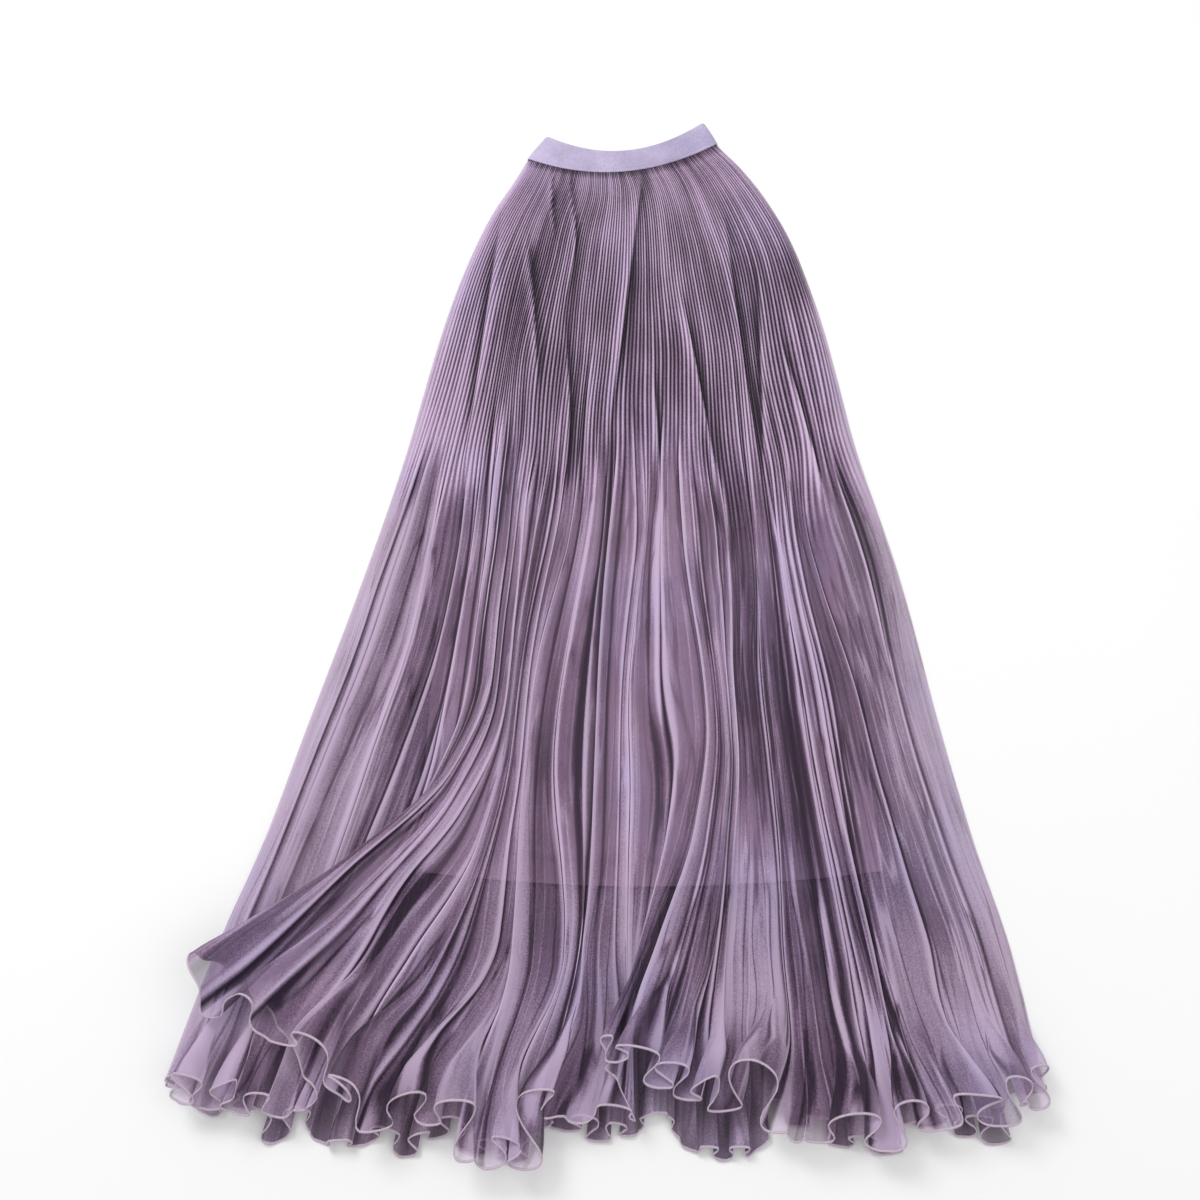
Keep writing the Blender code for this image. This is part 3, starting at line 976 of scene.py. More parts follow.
    def flutes(self, pleats: Array, runs: Array) -> tuple[Array, Array, Array]:
        """Shifts in X, Y and Z of the ruffles at the hem.

        Args:
            pleats: Pleat number of each column.
            runs: Run of each row.

        Returns:
            Three arrays of rows by columns.
        """
        dx = np.zeros(len(pleats))
        turned = np.zeros(len(pleats))
        dy = np.zeros(len(pleats))
        dz = np.zeros(len(pleats))
        for flute in FRONT_FLUTES:
            across = (pleats - flute.pleat) / flute.width + 0.5
            inside = (across > 0) & (across < 1)
            lip = np.where(inside, (1 - np.cos(2 * math.pi * across)) / 2, 0)
            curl = np.where(inside, np.sin(4 * math.pi * across), 0)
            dx += flute.lean * lip
            turned += flute.swell * curl
            dy += flute.rake * lip
            dz += flute.height * lip
        dy -= self.lip * np.sin(math.pi * np.clip((pleats - self.lip_pleat) / self.lip_pleats, -1, 1))
        grown = ease(1 - self.flute_run, 1.0, runs)[:, None] * MM
        wander = self.ripple_wander * slow_noise(self.seed + 5, len(pleats), 60)
        phase = 2 * math.pi * (pleats / self.ripple_pleats + wander)
        middle, spread = self.ripple_sizes
        size = self.ripple * (middle + spread * slow_noise(self.seed + 6, len(pleats), 70))
        size = size * (1 - between(self.no_ripple, pleats))
        edge = ease(*self.ripple_run, runs)[:, None]
        curled = ease(1 - self.curl_run, 1.0, runs)[:, None] * MM
        return (
            grown * dx + curled * turned + edge * self.ripple_across * size * np.cos(phase),
            grown * dy + edge * size * np.sin(phase),
            grown * dz + edge * self.ripple_up * size * (1 + np.sin(phase + 1)),
        )

    def near_lip(self, pleats: Array, runs: Array) -> Array:
        """How near each point is to the turned-back lip of the left swept fold.

        Args:
            pleats: Pleat number of each column.
            runs: Run of each row.

        Returns:
            Rows by columns, from 0 to 1.
        """
        across = np.exp(-(((pleats - self.lip_pleat + self.lip_reach) / self.lip_reach) ** 2))
        return across[None, :] * ease(*self.lip_runs, runs)[:, None]

    def shading(
        self, tone: Array, relief: Array, packed: Array, lot: Array, pleats: Array, runs: Array
    ) -> Array:
        """Tone of the whole panel, with its painted light and shade.

        Args:
            tone: Rows by columns of tone, painted light and shade, that its creases and fine folds add.
            relief: Rows by columns of height of its folds.
            packed: Rows by columns of how closely pleated it is.
            lot: Rows by columns of each pleat's own share, from -1 to 1.
            pleats: Pleat number of each column.
            runs: Run of each row.

        Returns:
            Rows by columns of tone.
        """
        look = self.shade
        patches = slow_field(self.seed + 9, len(runs), len(pleats), 16, 24)
        broad = slow_field(self.seed + 14, len(runs), len(pleats), 9, 34)
        edge = np.minimum(pleats, PLEATS - pleats)
        tone = look.level + tone
        # Painted shade in the valleys and painted highlight on the ridges of the folds
        for reach, depth, weight in look.reliefs:
            above = fold_tone(relief, reach, depth) - 0.5
            tone = tone + weight * mix(look.loose_relief, 1.0, packed) * above
        tone += packed * (look.pleated_patches * patches + look.each_pleat * lot)
        tone += (1 - packed) * (look.loose_patches * patches + look.broad_patches * broad)
        # Painted shadow under the band
        tone -= look.seam * (1 - ease(*look.seam_runs, runs))[:, None]
        # Painted light where the thin cloth at the sides and towards the left is lit through
        tone += look.side * (1 - ease(*look.side_pleats, edge))[None, :]
        tone += look.left * (1 - ease(*look.left_pleats, pleats))[None, :]
        tone += look.loose * (1 - packed)
        tone -= look.hip * between(look.hip_runs, runs)[:, None]
        tone += look.waist * (1 - ease(*look.hip_runs[:2], runs))[:, None]
        # Painted shade in the hollow beside the left swept fold
        swept = between(look.swept_pleats, pleats)[None, :]
        tone += ease(*self.low_runs, runs)[:, None] * (look.low - look.swept * swept)
        # Painted light where the hem's last stretch is lit through
        tone += look.hem * ease(*self.hem_runs, runs)[:, None]
        # Painted shade under the turned-back lip
        return tone - look.lip * self.near_lip(pleats, runs)

    def hiding(self, packed: Array, fine_tone: Array, pleats: Array, runs: Array) -> Array:
        """How much the cloth hides where it lies level.

        Args:
            packed: Rows by columns of how closely pleated it is.
            fine_tone: Rows by columns of tone of the fine folds, where it lies in more layers.
            pleats: Pleat number of each column.
            runs: Run of each row.

        Returns:
            Rows by columns of cover.
        """
        edge = np.minimum(pleats, PLEATS - pleats)
        cover = mix(self.cover, self.low_cover, ease(*self.low_cover_runs, runs))
        cover = (cover * mix(1, self.hem_cover, ease(*self.hem_runs, runs)))[:, None]
        cover = mix(cover, self.packed_cover, packed)
        cover = cover * mix(self.side_cover, 1.0, ease(*self.side_cover_pleats, edge))[None, :]
        low_layers = mix(1, self.low_doubled, ease(*self.low_doubled_runs, runs))[:, None]
        layers = 1 + self.doubled * np.abs(fine_tone) * low_layers
        layers = layers + self.lip_layers * self.near_lip(pleats, runs)
        return 1 - (1 - cover) ** layers

    def build(self) -> Sheet:
        """The whole sheet of the front panel.

        Returns:
            Its shape, tone, cover and flat coordinates.
        """
        pleats = np.linspace(0, PLEATS, PLEATS * self.columns_per_pleat + 1)
        runs = graded_runs(self.rows)
        size = (len(runs), len(pleats))
        edge = np.minimum(pleats, PLEATS - pleats)
        inside = ease(0, self.side_pleats, edge)[None, :]
        x, y = self.places(pleats, runs)
        long_height, long_shift = self.long_folds(pleats, runs)
        fine_height, fine_shift, fine_tone, bent = self.slates(pleats, runs)
        x = np.array([np.interp(line, pleats, row) for line, row in zip(bent, x)])
        y = np.array([np.interp(line, pleats, row) for line, row in zip(bent, y)])

        each = np.minimum((pleats * FINE_PLEATS / PLEATS).astype(int), FINE_PLEATS - 1)
        lot = slow_field(self.seed + 10, len(runs), FINE_PLEATS, 12, FINE_PLEATS)[:, each]
        crisp = self.crisp_pleats(pleats, runs) * (1 + self.uneven_pleats * lot)
        wave = slow_field(self.seed + 3, *size, 7, 16) * self.wave * MM
        wave *= between(self.wave_runs, runs)[:, None]
        swayed = slow_field(self.seed + 12, *size, 11, 9) * ease(*self.sway_runs[:2], runs)[:, None]
        x = x + self.sway * swayed * (1 - ease(*self.sway_runs[2:], runs))[:, None] * inside
        crease_height, crease_shift, crease_tone = self.creases(x, runs)
        wave = wave + crease_height

        dx, dy, dz = self.flutes(pleats, runs)
        prop = self.hem_prop * ease(*self.prop_runs, runs)[:, None]
        top = mix(self.seam_floor, self.floor, ease(*self.seam_floor_runs, runs))[:, None]
        low = mix(self.side_floor, top + prop, inside)
        relief = crisp * mix(self.side_relief, 1.0, inside) + (long_height + fine_height) * inside
        swell = (wave + self.swell * ease(*self.swell_runs, runs)[:, None]) * inside
        z = low + relief + swell + self.sweeps(pleats, runs) + dz
        x = x + (long_shift + fine_shift + crease_shift) * inside + dx
        y = y + dy

        look = self.shade
        to_right = ease(*self.right_pleats, pleats)[None, :]
        packed = 1 - ease(*self.unpacking, runs[:, None] - self.late(len(pleats))[None, :])
        # Painted light and shade of the fine folds, weaker low down and at the sides
        fine_tone = fine_tone * mix(1, look.low_folds, ease(*look.low_fold_runs, runs))[:, None]
        fine_tone = fine_tone * ease(*look.fold_side, edge)[None, :] * (1 + look.right_folds * to_right)
        tone = self.shading(crease_tone + fine_tone, relief + wave, packed, lot, pleats, runs)
        points = np.stack([x, y, z], axis=-1)
        cover = steep_cover(points, self.hiding(packed, fine_tone, pleats, runs))
        low_down = ease(*self.low_runs, runs)[:, None]
        loose = 1 + self.low_crinkle * low_down + self.right_crinkle * to_right
        loose = (1 - self.packed_calm * packed) * loose
        across, down = np.meshgrid(pleats / PLEATS * self.flat_width, -runs * self.flat_length)
        return Sheet(points, tone, cover, loose, np.stack([across, down], axis=-1))


@dataclass
class BackDrape:
    """Shape of the sheer back panel: pleats pressed flat under the skirt and a curled hem."""

    # Grid of the sheet, and its cut
    rows: tuple[tuple[float, int], ...] = ((0.86, 52), (1.0, 34))
    columns: int = 540
    flat_width: float = 1.15
    flat_length: float = 0.93
    seed: int = 41

    # Pressed pleats
    floor: float = 0.4 * MM
    pressed: float = 0.9 * MM
    laid_over: float = 3.2 * MM
    laid_pleats: Step = (0, 1.5)

    # Low folds near the hem
    folds: int = 40
    fold_runs: Step = (0.78, 0.9)
    fold_places: Step = (0.2, 0.8)
    fold_heights: Step = (0.4, 1.2)
    fold_halves: Step = (0.6, 1.2)
    fold_wander: float = 0.6
    fold_skew: float = 0.4

    # Curls of the hem
    flute_run: float = 0.07
    flute_pitch: float = 29 * MM
    flute_wander: float = 1.8
    flute_least: float = 0.35
    flute_side: Step = (0, 0.05)
    flute_swell: float = 6.5 * MM
    flute_rake: float = 17 * MM
    flute_height: float = 13 * MM

    # Tone with painted light and shade, and how much the cloth hides
    level_tone: float = 0.35
    fold_shade: float = 0.7
    shade_reach: int = 6
    shade_depth: float = 1.0 * MM
    hem_runs: Step = (0.955, 1.0)
    # A little lighter near the hem, with painted highlight on the raised lips of its curls
    hem_tones: Step = (0.02, 0.32)
    # Painted light where the thin cloth at the sides and towards the left is lit through
    side_tone: float = 0.45
    left_tone: float = 0.22
    left_from: float = 4.0
    cover: float = 0.82
    hem_cover: float = 0.78
    thin_side: float = 14.0
    thin_cover: float = 0.62
    crinkled: float = 0.7

    def build(self) -> Sheet:
        """The whole sheet of the back panel.

        Returns:
            Its shape, tone, cover and flat coordinates.
        """
        share = np.linspace(0, 1, self.columns + 1)
        runs = graded_runs(self.rows)
        sides, _ = FrontDrape().places(np.array([0.0, PLEATS]), runs)
        x = mix(sides[:, :1], sides[:, 1:], share[None, :])
        hem_x = x[-1]
        hem = smooth_lookup(column(BACK_HEM, "x"), column(BACK_HEM, "y"), hem_x / MM) * MM
        y = mix(seam_y(x[0]) - UNDER_BAND, hem[None, :], runs[:, None])
        pleats = share * PLEATS
        crest = 1 - np.abs(2 * (pleats % 1.0) - 1)
        edge = np.minimum(pleats, PLEATS - pleats)
        pressed = self.pressed * crest[None, :] * np.ones((len(runs), 1))
        x = x + self.laid_over * (crest * ease(*self.laid_pleats, edge))[None, :]

        draw = np.random.default_rng(self.seed)
        folds = np.zeros_like(x)
        for number in range(self.folds):
            centre = (number + draw.uniform(*self.fold_places)) * PLEATS / self.folds
            wander = self.fold_wander * slow_noise(self.seed + number, len(runs), 6)[:, None]
            across = pleats[None, :] - centre - wander
            grown = ease(*self.fold_runs, runs)[:, None] * draw.uniform(*self.fold_heights) * MM
            folds += grown * sharp_fold(across / draw.uniform(*self.fold_halves), self.fold_skew)

        grown = ease(1 - self.flute_run, 1.0, runs)[:, None]
        wander = self.flute_wander * slow_noise(self.seed + 60, len(share), 16)
        phase = 2 * math.pi * (hem_x / self.flute_pitch) + wander
        tall = mix(self.flute_least, 1.0, 0.5 + 0.5 * slow_noise(self.seed + 61, len(share), 18))
        inside = ease(*self.flute_side, np.minimum(share, 1 - share))
        lip = (0.5 - 0.5 * np.cos(phase)) * tall * inside
        x = x + grown * (self.flute_swell * np.sin(2 * phase) * tall * inside)[None, :]
        y = y + grown * (self.flute_rake * lip)[None, :]
        z = self.floor + pressed + folds + grown * (self.flute_height * lip)[None, :]
        points = np.stack([x, y, z], axis=-1)

        # Painted shade in the valleys and painted highlight on the crests of the pressed pleats and folds
        above = fold_tone(pressed + folds, self.shade_reach, self.shade_depth) - 0.5
        tone = self.level_tone + self.fold_shade * above
        near_hem = ease(*self.hem_runs, runs)[:, None]
        # A little lighter near the hem, with painted highlight on the raised lips of its curls
        low_tone, lip_tone = self.hem_tones
        tone += near_hem * (low_tone + lip_tone * lip)[None, :]
        # Painted light where the thin cloth at the sides and towards the left is lit through
        tone += self.side_tone * (1 - ease(0, 0.7 * self.thin_side, edge))[None, :]
        tone += self.left_tone * (1 - ease(self.left_from, 1.3 * self.thin_side, pleats))[None, :]
        cover = mix(self.cover, self.hem_cover, near_hem)
        cover = cover * mix(self.thin_cover, 1.0, ease(0, self.thin_side, edge))[None, :]
        across, down = np.meshgrid(share * self.flat_width, -runs * self.flat_length)
        cloth = np.stack([across, down], axis=-1)
        return Sheet(points, tone, steep_cover(points, cover), np.full_like(x, self.crinkled), cloth)


@dataclass
class LiningDrape:
    """Shape of one plain lining panel, which lies flat between the sheer ones.

    Attributes:
        low: Height of its lower layer over the surface.
        wave: Height of its gentle waves.
        seed: Fixes its waves.
    """

    low: float
    wave: float
    seed: int
    columns: int = 150
    rows: int = 110
    flat_width: float = 0.44
    flat_length: float = 0.75
    under_band: float = 0.5 * MM
    gather: float = 0.25 * MM
    gather_runs: Step = (0, 0.12)
    hem_y: float = -296 * MM
    hem_rise: float = 12 * MM
    hem_turn: float = 20 * MM
    hem_thickness: float = 0.18 * MM
    hem_step: float = 1.2 * MM
    hem_line: float = 1.5 * MM
    # Painted highlight on the waves' crests and painted shade in their dips, and a darker line along the
    # turned hem
    wave_tone: float = 0.25
    line_tone: float = 0.15
    crinkled: float = 0.2

    DROP = 742
    SIDES = (
        Width(0 / DROP, -64, 112),
        Width(60 / DROP, -86, 140),
        Width(170 / DROP, -116, 176),
        Width(350 / DROP, -134, 202),
        Width(560 / DROP, -142, 216),
        Width(742 / DROP, -146, 224),
    )

    def build(self) -> Sheet:
        """The whole sheet of the panel, whose turned hem is a little thicker.

        Returns:
            Its shape, tone, cover and flat coordinates.
        """
        share = np.linspace(0, 1, self.columns + 1)
        runs = np.linspace(0, 1, self.rows + 1)
        left = smooth_lookup(column(self.SIDES, "run"), column(self.SIDES, "left"), runs) * MM
        right = smooth_lookup(column(self.SIDES, "run"), column(self.SIDES, "right"), runs) * MM
        x = mix(left[:, None], right[:, None], share[None, :])
        hem = self.hem_y + self.hem_rise * (2 * share - 1) ** 2
        y = mix(seam_y(x[0]) - self.under_band, hem[None, :], runs[:, None])
        wave = slow_field(self.seed, len(runs), len(share), 9, 12) * 0.5 + 0.5
        drawn_in = 0.5 + 0.5 * np.cos(share * PLEATS * math.pi)
        gathers = drawn_in[None, :] * (1 - ease(*self.gather_runs, runs))[:, None]
        from_turn = y - hem[None, :] - self.hem_turn
        turned = 1 - ease(0, self.hem_step, from_turn)
        z = self.low + self.wave * wave + self.gather * gathers + self.hem_thickness * turned
        turn_line = 1 - ease(0, self.hem_line, np.abs(from_turn))
        # Painted highlight on the waves' crests and painted shade in their dips, and a darker line along the
        # turned hem
        tone = 0.5 + self.wave_tone * (wave - 0.5) - self.line_tone * turn_line
        cloth = np.stack(np.meshgrid(share * self.flat_width, -runs * self.flat_length), axis=-1)
        points = np.stack([x, y, z], axis=-1)
        return Sheet(points, tone, np.ones_like(x), np.full_like(x, self.crinkled), cloth)


def bare_grid(columns: int, rows: int) -> tuple[bmesh.types.BMesh, Array, Array]:
    """A bmesh grid and where each of its points belongs in it.

    Args:
        columns: Points across.
        rows: Points down.

    Returns:
        The grid, and the row and the column of each of its points, with row 0 at the top.
    """
    grid = bmesh.new()
    bmesh.ops.create_grid(grid, x_segments=columns - 1, y_segments=rows - 1, size=0.5)
    flat = np.array([vert.co[:2] for vert in grid.verts])
    across = np.rint((flat[:, 0] + 0.5) * (columns - 1)).astype(int)
    down = np.rint((0.5 - flat[:, 1]) * (rows - 1)).astype(int)
    return grid, down, across


def link_piece(name: str, mesh: bpy.types.Mesh) -> bpy.types.Object:
    """Put a finished mesh in the scene, with smooth shading.

    Args:
        name: The piece's name.
        mesh: Its mesh, in its place.

    Returns:
        The new object, at the origin.
    """
    mesh.shade_smooth()
    piece = bpy.data.objects.new(name, mesh)
    bpy.context.scene.collection.objects.link(piece)
    return piece


def cloth_piece(name: str, sheet: Sheet, faces: Side) -> bpy.types.Object:
    """One thin sheet of cloth with its flat coordinates as a UV map and its tone, painted light and shade, as
    an attribute.

    Args:
        name: The piece's name.
        sheet: Its shape.
        faces: Which way its outer side looks.

    Returns:
        The new object.
    """
    rows, columns = sheet.tone.shape
    grid, down, across = bare_grid(columns, rows)
    if faces is Side.BACK:
        bmesh.ops.reverse_faces(grid, faces=grid.faces)
    mesh = bpy.data.meshes.new(name)
    grid.to_mesh(mesh)
    grid.free()
    mesh.vertices.foreach_set("co", sheet.points[down, across].astype(np.float32).ravel())
    corners = np.empty(len(mesh.loops), int)
    mesh.loops.foreach_get("vertex_index", corners)
    flat = mesh.uv_layers.new(name="cloth")
    flat.uv.foreach_set("vector", sheet.cloth[down, across][corners].astype(np.float32).ravel())
    for label, values in (("tone", sheet.tone), ("cover", sheet.cover), ("loose", sheet.loose)):
        attribute = mesh.attributes.new(label, "FLOAT", "POINT")
        attribute.data.foreach_set("value", values[down, across].astype(np.float32))
    mesh.update()
    return link_piece(name, mesh)


def tube_piece(name: str, rings: Array) -> bpy.types.Object:
    """A closed tube through rings of points.

    Args:
        name: The piece's name.
        rings: Rings by points round each by three.

    Returns:
        The new object, its ends closed and its faces pointing out.
    """
    count, sides = rings.shape[:2]
    tube, down, across = bare_grid(count, sides + 1)
    places = rings[across, down % sides]
    for vert, place in zip(tube.verts, places):
        vert.co = place
    bmesh.ops.remove_doubles(tube, verts=tube.verts, dist=0.001 * MM)
    rim = [edge for edge in tube.edges if edge.is_boundary]
    bmesh.ops.holes_fill(tube, edges=rim, sides=sides)
    bmesh.ops.recalc_face_normals(tube, faces=tube.faces)
    mesh = bpy.data.meshes.new(name)
    tube.to_mesh(mesh)
    tube.free()
    return link_piece(name, mesh)


@dataclass
class Overlock:
    """A close overlocked edge: thread wound round the raw edge of a sheet, one ridge to each stitch."""

    pitch: float = 1.7 * MM
    width: float = 1.8 * MM
    thickness: float = 1.0 * MM
    rings_per_stitch: int = 4
    sides: int = 6
    ridge: float = 0.30
    slant: float = 1.4

    def build(self, name: str, sheet: Sheet) -> bpy.types.Object:
        """Wind the thread along the lower edge of a sheet.

        Args:
            name: The piece's name.
            sheet: The cloth whose last row is the edge.

        Returns:
            The new object.
        """
        edge = sheet.points[-1]
        steps = np.linalg.norm(np.diff(edge, axis=0), axis=1)
        along = np.concatenate([[0], np.cumsum(steps)])
        count = int(along[-1] / self.pitch) * self.rings_per_stitch
        at = np.linspace(0, along[-1], count)
        line = smooth_lookup(along, edge, at)
        out = smooth_lookup(along, sheet.edge_direction(), at)
        ahead = np.gradient(line, axis=0)
        ahead /= np.linalg.norm(ahead, axis=1, keepdims=True)
        up = np.cross(ahead, out)
        up /= np.linalg.norm(up, axis=1, keepdims=True)
        turn = 2 * math.pi * np.arange(self.sides) / self.sides
        phase = 2 * math.pi * at[:, None] / self.pitch + self.slant * np.sin(turn)[None, :]
        swell = 1 + self.ridge * np.cos(phase)
        reach = (self.width / 2 * np.cos(turn)[None, :] * swell)[:, :, None]
        height = (self.thickness / 2 * np.sin(turn)[None, :] * swell)[:, :, None]
        rings = line[:, None, :] + reach * out[:, None, :] + height * up[:, None, :]
        return tube_piece(name, rings)


@dataclass
class Band:
    """Elastic waistband: a smooth tube pressed flat, with a row of stitches above its seam."""

    thickness: float = 6.0 * MM
    wall: float = 1.2 * MM
    columns: int = 240
    rows: int = 40
    height: float = 33 * MM
    roll: float = 1.6 * MM
    rolled_in: float = 0.35
    corner: float = 7.0 * MM
    edge_round: float = 0.45 * MM
    edge_steps: int = 3
    edge_angle: float = math.radians(50)
    groove_up: float = 4.4 * MM
    groove: float = 0.5 * MM
    groove_half: float = 0.7 * MM
    stitch_up: float = 3.2 * MM
    stitch_pitch: float = 3.1 * MM
    stitch_length: float = 2.4 * MM
    stitch_width: float = 0.5 * MM

    def place(self, turn: Array, up: Array) -> Array:
        """Points on the outside of the band.

        Args:
            turn: Turns round the band, from the left end of its front.
            up: Shares of the way from the seam to the top edge.

        Returns:
            Points by three.
        """
        left = [mix(a, b, up) for a, b in zip(SEAM_LEFT, BAND_TOP_LEFT)]
        right = [mix(a, b, up) for a, b in zip(SEAM_RIGHT, BAND_TOP_RIGHT)]
        half = (right[0] - left[0]) / 2
        radius = self.thickness / 2
        to_rim = np.minimum(up, 1 - up) * self.height
        tuck = self.rolled_in * self.roll * (1 - ease(0, self.roll, to_rim)) ** 2
        from_groove = (up * self.height - self.groove_up) / self.groove_half
        tuck = tuck + self.groove * np.exp(-(from_groove**2))
        radius_in = radius - tuck
        core = half - radius
        straight = 2 * core
        round_end = math.pi * radius
        along = (turn % 1.0) * 2 * (straight + round_end)
        first = along < straight
        second = ~first & (along < straight + round_end)
        third = ~first & ~second & (along < 2 * straight + round_end)
        angle_right = math.pi / 2 - (along - straight) / radius
        angle_left = -math.pi / 2 - (along - 2 * straight - round_end) / radius
        x = np.select(
            [first, second, third],
            [-core + along, core + radius_in * np.cos(angle_right), core - (along - straight - round_end)],
            -core + radius_in * np.cos(angle_left),
        )
        z = np.select(
            [first, second, third],
            [radius_in, radius_in * np.sin(angle_right), -radius_in],
            radius_in * np.sin(angle_left),
        )
        share = (x + half) / (2 * half)
        dip = mix(SEAM_DIP, BAND_TOP_DIP, up)
        x_at = mix(left[0], right[0], share)
        in_corner = np.clip(self.corner - (half - np.abs(x)), 0, self.corner)
        rounded = self.corner - np.sqrt(self.corner**2 - in_corner**2)
        y_at = mix(left[1], right[1], share) - 4 * dip * share * (1 - share) - rounded * up**2
        return np.stack([x_at, y_at, z + radius], axis=-1)

    def ring(self) -> bpy.types.Object:
        """The band itself.

        Returns:
            The new object, with a wall and rolled edges.
        """
        grid, down, across = bare_grid(self.columns + 1, self.rows + 1)
        mesh = bpy.data.meshes.new("waistband_elastic")
        turn = (across % self.columns) / self.columns
        places = self.place(turn, 1 - down / self.rows)
        for vert, place in zip(grid.verts, places):
            vert.co = place
        bmesh.ops.remove_doubles(grid, verts=grid.verts, dist=0.001 * MM)
        bmesh.ops.recalc_face_normals(grid, faces=grid.faces)
        grid.to_mesh(mesh)
        grid.free()
        piece = link_piece("waistband_elastic", mesh)
        wall = piece.modifiers.new("Wall", "SOLIDIFY")
        wall.thickness = self.wall
        wall.offset = -1
        edge = piece.modifiers.new("Rolled edges", "BEVEL")
        edge.width = self.edge_round
        edge.segments = self.edge_steps
        edge.limit_method = "ANGLE"
        edge.angle_limit = self.edge_angle
        return piece

    def stitches(self) -> bpy.types.Object:
        """One row of short stitches right round the band.

        Returns:
            The new object.
        """
        length = 2 * (SEAM_RIGHT[0] - SEAM_LEFT[0])
        count = round(length / self.stitch_pitch)
        turns = (np.arange(count) + 0.5) / count
        up = np.full(count, self.stitch_up / self.height)
        here = self.place(turns, up)
        ahead = self.place(turns + 0.5 / count, up) - here
        row = bmesh.new()
        for place, way in zip(here, ahead):
            turn = Vector(way).to_track_quat("X", "Z").to_matrix().to_4x4()
            turn.translation = Vector(place)
            stitch = bmesh.ops.create_icosphere(row, subdivisions=1, radius=1)["verts"]
            size = Vector((self.stitch_length / 2, self.stitch_width / 2, self.stitch_width / 2))
            bmesh.ops.scale(row, vec=size, verts=stitch)
            bmesh.ops.transform(row, matrix=turn, verts=stitch)
        mesh = bpy.data.meshes.new("waistband_stitches")
        row.to_mesh(mesh)
        row.free()
        return link_piece("waistband_stitches", mesh)


class Wiring:
    """Adds nodes to one tree and joins them."""

    def __init__(self, tree: bpy.types.NodeTree) -> None:
        """Keep the tree that nodes are added to."""
        self.tree = tree

    def add(self, kind: str, **settings: object) -> bpy.types.Node:
        """A new node.

        Args:
            kind: Its kind.
            **settings: Its settings by name.

        Returns:
            The node.
        """
        node = self.tree.nodes.new(kind)
        for name, value in settings.items():
            setattr(node, name, value)
        return node

    def join(self, source: object, target: bpy.types.NodeSocket) -> None:
        """Feed a socket from another, or set it to a value.

        Args:
            source: A socket or a value.
            target: The socket that takes it.
        """
        if isinstance(source, bpy.types.NodeSocket):
            self.tree.links.new(source, target)
        else:
            target.default_value = source

    def math(self, operation: str, first: object, second: object = 0.0) -> bpy.types.NodeSocket:
        """The result of one sum.

        Args:
            operation: What the sum does.
            first: A socket or a value.
            second: A socket or a value.

        Returns:
            The socket that holds the result.
        """
        node = self.add("ShaderNodeMath", operation=operation)
        self.join(first, node.inputs[0])
        self.join(second, node.inputs[1])
        return node.outputs[0]

    def span(self, value: object, given: Step, made: Step) -> bpy.types.NodeSocket:
        """A value carried from one span to another, and held inside it.

        Args:
            value: A socket or a value.
            given: Ends of the span that it comes from.
            made: Ends of the span that it is carried to.

        Returns:
            The socket that holds the result.
        """
        node = self.add("ShaderNodeMapRange", clamp=True)
        for place, source in enumerate((value, *given, *made)):
            self.join(source, node.inputs[place])
        return node.outputs[0]

    def blend(self, share: object, first: object, second: object) -> bpy.types.NodeSocket:
        """A colour part of the way from the first to the second.

        Args:
            share: How far it is on the way.
            first: A socket or a colour.
            second: A socket or a colour.

        Returns:
            The socket that holds the colour.
        """
        node = self.add("ShaderNodeMix", data_type="RGBA")
        self.join(share, node.inputs[0])
        self.join(first, node.inputs[6])
        self.join(second, node.inputs[7])
        return node.outputs[2]

    def noise(self, vector: object, scale: float, detail: float = 2.0) -> bpy.types.NodeSocket:
        """Noise from 0 to 1.

        Args:
            vector: The socket that holds the place.
            scale: How fine it is.
            detail: How many finer layers it has.

        Returns:
            The socket that holds the noise.
        """
        node = self.add("ShaderNodeTexNoise")
        self.join(vector, node.inputs["Vector"])
        node.inputs["Scale"].default_value = scale
        node.inputs["Detail"].default_value = detail
        return node.outputs[0]


def effect_group(
    name: str, inputs: dict[str, tuple], outputs: dict[str, str]
) -> tuple[Wiring, dict[str, bpy.types.NodeSocket], dict[str, bpy.types.NodeSocket]]:
    """An empty shader node group with named sockets.

    Args:
        name: The group's name.
        inputs: Socket kinds and first values by name.
        outputs: Socket kinds by name.

    Returns:
        Its wiring, the sockets that bring its inputs, and the sockets that take its outputs.
    """
    tree = bpy.data.node_groups.new(name, "ShaderNodeTree")
    for label, (kind, value) in inputs.items():
        socket = tree.interface.new_socket(label, in_out="INPUT", socket_type=kind)
        if value is not None:
            socket.default_value = value
    for label, kind in outputs.items():
        tree.interface.new_socket(label, in_out="OUTPUT", socket_type=kind)
    wiring = Wiring(tree)
    given = {port.name: port for port in wiring.add("NodeGroupInput").outputs if port.name}
    made = {port.name: port for port in wiring.add("NodeGroupOutput").inputs if port.name}
    return wiring, given, made


